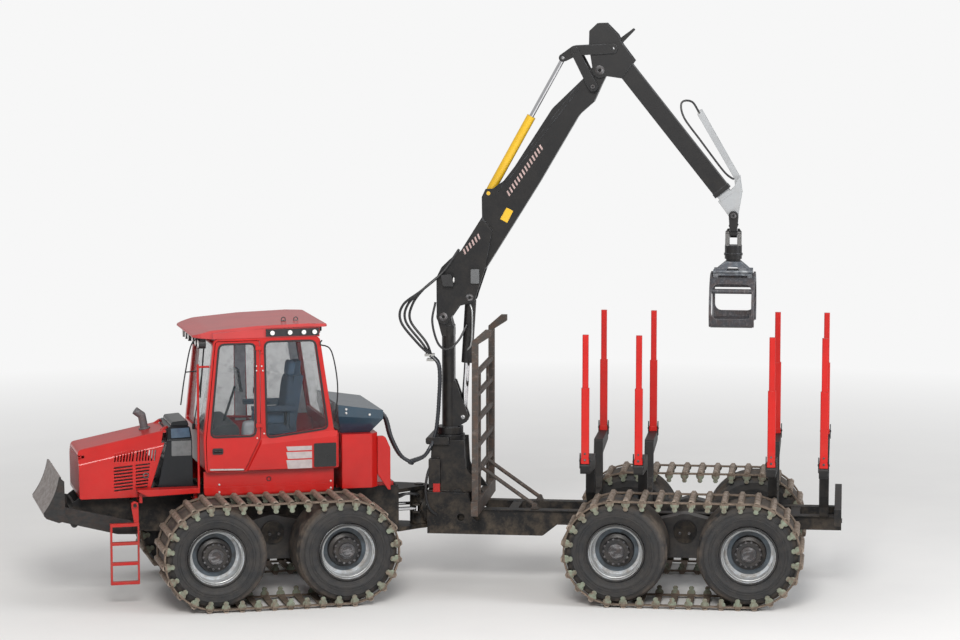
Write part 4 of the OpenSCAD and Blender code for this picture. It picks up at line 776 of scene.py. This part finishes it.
# A wheel's bolts on their circle, and how far its hub, rim and sidewall lie outside its middle
WHEEL_BOLTS, BOLT_CIRCLE = 14, 0.16
HUB_OUT, RIM_OUT, WALL_OUT = 0.24, 0.3, 0.35
HUB_CAP = [(0.105, 0), (0.1, 0.03), (0.075, 0.038), (0.07, 0.03)]
RIM_RING = (0.328, 0.013)
WALL_RINGS = ((0.36, 0.012), (0.47, 0.008), (0.5, 0.008), (0.56, 0.01))

# The round cups at both ends of a shoe, their place and how far they lie inside the line
CUP = [(0.056, 0), (0.056, 0.012), (0.044, 0.02), (0.02, 0.02)]
CUP_Y, CUP_IN = 0.361, 0.012

# The bolts beside a bogie's pivot
PIVOT_BOLTS = (0.06, 0.86, 0.8653)


def loop_place(s):
    """Place and outward turn of a point s along a track's loop, about the middle between its axles."""
    s %= LOOP
    arc = math.pi * LOOP_R
    if s < 2 * BOGIE_HALF:
        return -BOGIE_HALF + s, LOOP_R, math.pi / 2
    s -= 2 * BOGIE_HALF
    if s < arc:
        a = math.pi / 2 - s / LOOP_R
        return BOGIE_HALF + LOOP_R * math.cos(a), LOOP_R * math.sin(a), a
    s -= arc
    if s < 2 * BOGIE_HALF:
        return BOGIE_HALF - s, -LOOP_R, -math.pi / 2
    a = -math.pi / 2 - (s - 2 * BOGIE_HALF) / LOOP_R
    return -BOGIE_HALF + LOOP_R * math.cos(a), LOOP_R * math.sin(a), a


def add_wheels():
    for end, axes, side, x0 in BOGIES:
        body, out = "bogie_" + end, (0, side, 0)
        bolts, rings, walls, cups, caps = Shape(axes), Shape(axes), Shape(axes), Shape(axes), Shape(axes)
        for x in (x0 - BOGIE_HALF, x0 + BOGIE_HALF):
            face = side * (WHEEL_Y + HUB_OUT)
            for i in range(WHEEL_BOLTS):
                a = math.tau * i / WHEEL_BOLTS
                place = (x + BOLT_CIRCLE * math.cos(a), face, WHEEL_Z + BOLT_CIRCLE * math.sin(a))
                bolts.bolt(place, out, 0.016, 0.02)
            caps.lathe((x, face - side * 0.002, WHEEL_Z), out, HUB_CAP, 28)
            rings.ring((x, side * (WHEEL_Y + RIM_OUT), WHEEL_Z), (0, 1, 0), *RIM_RING, 48)
            for r, thick in WALL_RINGS:
                walls.ring((x, side * (WHEEL_Y + WALL_OUT), WHEEL_Z), (0, 1, 0), r, thick, 48)
        for i in range(SHOES):
            x, z, a = loop_place((i + 0.5) * LOOP / SHOES)
            x, z = x0 + x - CUP_IN * math.cos(a), WHEEL_Z + z - CUP_IN * math.sin(a)
            for s, _ in SIDES:
                cups.lathe((x, side * WHEEL_Y + s * CUP_Y, z), (0, s, 0), CUP, 14)
        across, y, z = PIVOT_BOLTS
        for x in (x0 - across, x0 + across):
            bolts.bolt((x, side * y, z), out, 0.02, 0.02)
        bolts.done("wheel_bolts_" + end, PINS, body)
        caps.done("hub_caps_" + end, PINS, body)
        rings.done("rim_rings_" + end, PIPE, body)
        walls.done("tyre_rings_" + end, TYRES[end], body)
        cups.done("track_cups_" + end, bpy.data.materials["track_steel_" + end], body)


# WAGON AND CRANE

# Each pin's X and Z, the Y of its ends, its radius and its body
CRANE_PINS = [
    ((-0.354, 3.557), 0.150, 0.056, "boom"), ((-0.702, 3.817), 0.150, 0.05, "boom"),
    ((-2.405, 6.806), 0.130, 0.062, "arm"), ((-2.319, 6.594), 0.194, 0.03, "boom"),
    ((-4.153, 4.925), 0.124, 0.04, "tip_link"),
]

# The two rows of slanted hashes on the boom: first place, direction, count, pitch and the boom's side
HASH_ROWS = [
    ((-1.17, 5.222), (-0.575, 0.818), 14, 0.057, 0.095),
    ((-0.6, 4.46), (-0.684, 0.729), 6, 0.055, 0.15),
]

BOOM_CHEEK_Y = 0.148
STAKE_XS = (-2.35, -3.03, -4.71, -5.37)


def add_pins():
    """Pin ends on both sides of the crane, each with a black disc in its middle as painted shade of its hole.
    """
    for i, ((x, z), y, r, body) in enumerate(CRANE_PINS):
        hole = r * 0.34
        end = [(r, 0), (r, 0.01), (r * 0.8, 0.016), (r * 0.4, 0.016), (hole, 0.01)]
        pins, hole_shades = Shape(WAGON), Shape(WAGON)
        for side, _ in SIDES:
            pins.lathe((x, side * (y - 0.004), z), (0, side, 0), end)
            hole_shades.lathe((x, side * (y + 0.004), z), (0, side, 0), [(hole, 0), (hole, 0.008)], 16)
        pins.done(f"pin_ends_{i}", PINS, body)
        hole_shades.done(f"pin_hole_shades_{i}", HOLE_SHADE, body)


def add_boom():
    """Marks, plate, box and lamp on the boom, the lift cylinder's pipe and the bolts of the white guide."""
    hashes = Shape(WAGON)
    for start, run, count, pitch, y in HASH_ROWS:
        start, run = Vector(start), Vector(run)
        inward = Vector((-run.y, run.x))
        for i in range(count):
            a = start + run * pitch * i + inward * 0.018
            b = a + inward * 0.066 - run * 0.03
            hashes.prism([a, a + run * 0.026, b + run * 0.026, b], y - 0.001, y + 0.002)
    hashes.done("boom_hashes", HASH, "boom")
    sign = [(-1.185, 5.005), (-1.273, 4.96), (-1.194, 4.802), (-1.099, 4.853)]
    plate("boom_plate", sign, 0.094, 0.098, YELLOW, "boom", WAGON)
    box = rounded_box(-0.834, 4.006, -0.722, 4.195, 0.012)
    plate("boom_box", box, BOOM_CHEEK_Y, 0.19, GREY_PANEL, "boom", WAGON)
    lamp = softened([(-0.5, 3.97), (-0.36, 3.97), (-0.33, 4.12), (-0.47, 4.13)], 0.02)
    plate("boom_lamp", lamp, BOOM_CHEEK_Y, 0.24, PLASTIC, "boom", WAGON)
    glass = [(0.036, -0.006), (0.036, 0.004), (0.02, 0.01)]
    Shape(WAGON).lathe((-0.498, 0.195, 4.05), (-1, 0, 0), glass, 16).done("boom_lamp_lens", LENS, "boom")
    pipe = curve([(-0.7, 0.075, 3.72), (-0.73, 0.1, 3.6), (-0.72, 0.1, 3.22), (-0.655, 0.06, 3.1)])
    Shape(WAGON).tube(pipe, 0.011).done("lift_pipe", PIPE, "lift_barrel")
    bolts = Shape(WAGON)
    for x, z in ((-3.688, 6.265), (-4.1, 5.143)):
        bolts.lathe((x, -0.04, z), (0, 1, 0), [(0.02, 0), (0.02, 0.08)], 12)
    bolts.done("guide_bolts", FITTING, "extension")


def add_fittings():
    """Bolts on the stakes, the valve's plate and the clamps that hold the hoses to the column."""
    bolts = Shape(WAGON)
    for x in STAKE_XS:
        for side, _ in SIDES:
            bolts.bolt((x, side * 1.497, 1.9), (0, side, 0), 0.016, 0.014)
            bolts.bolt((x, side * 1.491, 1.98), (0, side, 0), 0.013, 0.012)
    bolts.done("stake_bolts", PINS, "wagon")
    valve = [(-0.333, 1.203), (-0.24, 1.203), (-0.24, 1.362), (-0.333, 1.362)]
    plate("valve_plate", valve, 0.335, 0.352, RED, "wagon", WAGON)
    clamps = Shape(WAGON)
    for x, z in ((-0.174, 3.053), (-0.2, 2.99)):
        clamps.box((x - 0.06, 0.1, z - 0.015), (x + 0.06, 0.235, z + 0.015))
    clamps.done("hose_clamps", FITTING, "column")


# HOSES

# Radii of the ribbed bundle as far as the slew ring and from there up, and of the plain hoses
BUNDLE_R, COLUMN_R = 0.026, 0.024
BOOM_HOSE_R, LIFT_HOSE_R, FRAME_HOSE_R, GUIDE_HOSE_R = 0.017, 0.015, 0.018, 0.014

# The distance between two hoses of the bundle, and the share of it that is left along the column
BUNDLE_PITCH = 0.055
NARROW = 0.6

LIFT_HOSE = [(-0.25, 0.162, 3.75), (-0.22, 0.25, 3.5), (-0.302, 0.29, 3.22), (-0.428, 0.27, 3.14),
             (-0.56, 0.19, 3.25), (-0.66, 0.1, 3.45)]
FRAME_HOSE = [(-0.25, 0.262, 1.688), (-0.17, 0.34, 1.5), (-0.15, 0.42, 1.25), (-0.2, 0.44, 1.05),
              (-0.3, 0.385, 0.95)]
GUIDE_HOSE = [(-3.7, 0.03, 6.25), (-3.6, 0.05, 6.4), (-3.47, 0.08, 6.39), (-3.5, 0.1, 6.2),
              (-3.72, 0.11, 5.9), (-4.0, 0.1, 5.53), (-4.1, 0.08, 5.43), (-4.15, 0.045, 5.4)]


def add_bundle():
    """Three hoses from the cab's rear box over the steering joint and up the column to the boom."""
    to_tractor = TRACTOR.inverted() @ WAGON
    for k in range(3):
        d = BUNDLE_PITCH * (k - 1)
        n = d * NARROW
        seam = Vector((0.067, 0.33 + d, 1.63 + 0.3 * abs(d)))
        front = [(0.645, 0.5 + d, 2.36 + 0.3 * d), (0.56, 0.5 + d, 2.27), (0.49, 0.5 + d, 2.02),
                 (0.355, 0.46 + d, 1.77), (0.2, 0.41 + d, 1.66), to_tractor @ seam]
        rear = [seam, (-0.114, 0.33 + d, 1.72), (-0.2, 0.31 + d, 1.84), (-0.235, 0.27 + n, 1.93)]
        slew = [rear[-1], (-0.27, 0.25 + n, 2.07), (-0.29, 0.23 + n, 2.25), (-0.3, 0.22 + n, 2.4)]
        column = [slew[-1], (-0.313, 0.2 + n, 2.75), (-0.29, 0.2 + n, 2.95), (-0.19, 0.18 + n, 3.05)]
        boom = [column[-1], (-0.07 + d, 0.2 + n, 3.22), (0.14 + d, 0.21 + d, 3.5), (0.11 + d, 0.21 + d, 3.72),
                (-0.09, 0.2 + d, 3.92), (-0.36, 0.165 + 0.4 * d, 4.16), (-0.56, 0.125 + 0.3 * d, 4.45)]
        hose(f"bundle_front_{k}", front, BUNDLE_R, TRACTOR, ("tractor", "mid_joint"), WRAP, True)
        hose(f"bundle_rear_{k}", rear, BUNDLE_R, WAGON, ("mid_joint", "wagon"), WRAP, True)
        hose(f"bundle_slew_{k}", slew, COLUMN_R, WAGON, ("wagon", "column"), WRAP, True)
        hose(f"bundle_column_{k}", column, COLUMN_R, WAGON, ("column",), WRAP, True)
        hose(f"boom_hose_{k}", boom, BOOM_HOSE_R, WAGON, ("column", "boom"))


def add_hoses():
    hose("lift_hose", LIFT_HOSE, LIFT_HOSE_R, WAGON, ("boom", "lift_barrel"))
    hose("frame_hose", FRAME_HOSE, FRAME_HOSE_R, WAGON, ("wagon",))
    for k, y in enumerate((-0.26, -0.16, 0.18, 0.28)):
        path = [(0.44, y, 1.345), (0.38, y * 1.1, 1.24 - 0.02 * k), (0.25, y * 1.3, 1.17 + 0.02 * k),
                (0.1, y * 1.2, 1.21), (0.024, math.copysign(0.122, y), 1.15)]
        hose(f"joint_hose_{k}", path, 0.015 + 0.002 * (k % 2), TRACTOR, ("tractor", "mid_joint"))
    hose("guide_hose", GUIDE_HOSE, GUIDE_HOSE_R, WAGON, ("extension",))


add_cab_side()
add_skirts()
add_roof()
add_cab_rods()
add_seat()
add_cab_inside()
add_hood_and_cowl()
add_wheels()
add_pins()
add_boom()
add_fittings()
add_bundle()
add_hoses()

# CAMERA AND LIGHT

# The camera's place in the tractor's axes, how it is turned and how it looks down
CAMERA_PLACE = Vector((8.764, 38.524, 8.0))
CAMERA_TURN = math.radians(14)
CAMERA_DIP = math.radians(6.51)
FOCAL_MM, SENSOR_MM = 112.5, 36
FARTHEST = 200

# The floor's half width, the distances between which it fades into the background, and its two greys
FLOOR_HALF = 60
FADE = (9.0, 24.0)
FLOOR_PALE, FLOOR_DARK = (0.8, 0.795, 0.785), (0.77, 0.765, 0.76)

# How bright the background is to the camera, and as a light from its foot to its top
BACKGROUND = 0.93
SKY = {"From Min": -0.2, "From Max": 0.9, "To Min": 0.3, "To Max": 0.7}


def add_camera():
    data = bpy.data.cameras.new("camera")
    data.lens, data.sensor_width, data.clip_end = FOCAL_MM, SENSOR_MM, FARTHEST
    camera = bpy.data.objects.new("camera", data)
    bpy.context.scene.collection.objects.link(camera)
    right = Vector((-math.cos(CAMERA_TURN), math.sin(CAMERA_TURN), 0))
    level = Vector((-math.sin(CAMERA_TURN), -math.cos(CAMERA_TURN), 0))
    ahead = level * math.cos(CAMERA_DIP) - Vector((0, 0, math.sin(CAMERA_DIP)))
    look = Matrix((right, right.cross(ahead), -ahead)).transposed().to_4x4()
    camera.matrix_world = Matrix.Translation(TRACTOR @ CAMERA_PLACE) @ look
    bpy.context.scene.camera = camera


def add_lamp(name, place, aim, size, power, colour):
    """A round area light."""
    data = bpy.data.lights.new(name, "AREA")
    data.shape, data.size, data.energy, data.color = "DISK", size, power, colour
    lamp = bpy.data.objects.new(name, data)
    bpy.context.scene.collection.objects.link(lamp)
    lamp.location = place
    lamp.rotation_euler = (Vector(aim) - Vector(place)).to_track_quat("-Z", "Y").to_euler()


def add_world():
    """A plain bright background for the camera, and a sky that is brighter above for the light."""
    world = bpy.data.worlds.new("studio")
    world.use_nodes = True
    tree = world.node_tree
    back = tree.nodes["Background"]
    path = tree.nodes.new("ShaderNodeLightPath")
    sky = tree.nodes.new("ShaderNodeTexCoord")
    split = tree.nodes.new("ShaderNodeSeparateXYZ")
    tree.links.new(sky.outputs["Generated"], split.inputs[0])
    shade = tree.nodes.new("ShaderNodeMapRange")
    tree.links.new(split.outputs["Z"], shade.inputs["Value"])
    for socket, value in SKY.items():
        shade.inputs[socket].default_value = value
    camera = tree.nodes.new("ShaderNodeMix")
    tree.links.new(path.outputs["Is Camera Ray"], camera.inputs["Factor"])
    tree.links.new(shade.outputs["Result"], camera.inputs[2])
    camera.inputs[3].default_value = BACKGROUND
    tree.links.new(camera.outputs[0], back.inputs["Strength"])
    back.inputs["Color"].default_value = (1, 1, 1, 1)
    bpy.context.scene.world = world


def add_floor():
    """A pale floor that fades into the background far out."""
    mesh = bpy.data.meshes.new("floor")
    corners = [(x * FLOOR_HALF, y * FLOOR_HALF, 0) for x, y in ((-1, -1), (1, -1), (1, 1), (-1, 1))]
    mesh.from_pydata(corners, [], [(0, 1, 2, 3)])
    floor = bpy.data.objects.new("floor", mesh)
    bpy.context.scene.collection.objects.link(floor)
    n = Nodes("floor")
    n.set(n.shader.inputs["Base Color"], n.mix(n.ramp(n.noise(0.6, 4), 0.3, 0.7), FLOOR_PALE, FLOOR_DARK))
    n.shader.inputs["Roughness"].default_value = 0.9
    split = n.add("ShaderNodeSeparateXYZ", Vector=n.place).outputs
    far = n.ramp(length_of(n, split["X"], split["Y"]), *FADE)
    glow = n.add("ShaderNodeEmission", Color=(BACKGROUND, BACKGROUND, BACKGROUND))
    fade = n.add("ShaderNodeMixShader", Fac=far)
    n.tree.links.new(n.shader.outputs[0], fade.inputs[1])
    n.tree.links.new(glow.outputs[0], fade.inputs[2])
    n.tree.links.new(fade.outputs[0], n.tree.nodes["Material Output"].inputs["Surface"])
    mesh.materials.append(n.mat)


add_camera()
add_world()
add_floor()
add_lamp("key", (6, 22, 16), (0, 0, 2), 9, 4600, (1, 0.98, 0.95))
add_lamp("fill", (-16, 12, 9), (-2, 0, 2.5), 9, 1500, (0.93, 0.96, 1))
bpy.context.scene.view_settings.view_transform = "Standard"
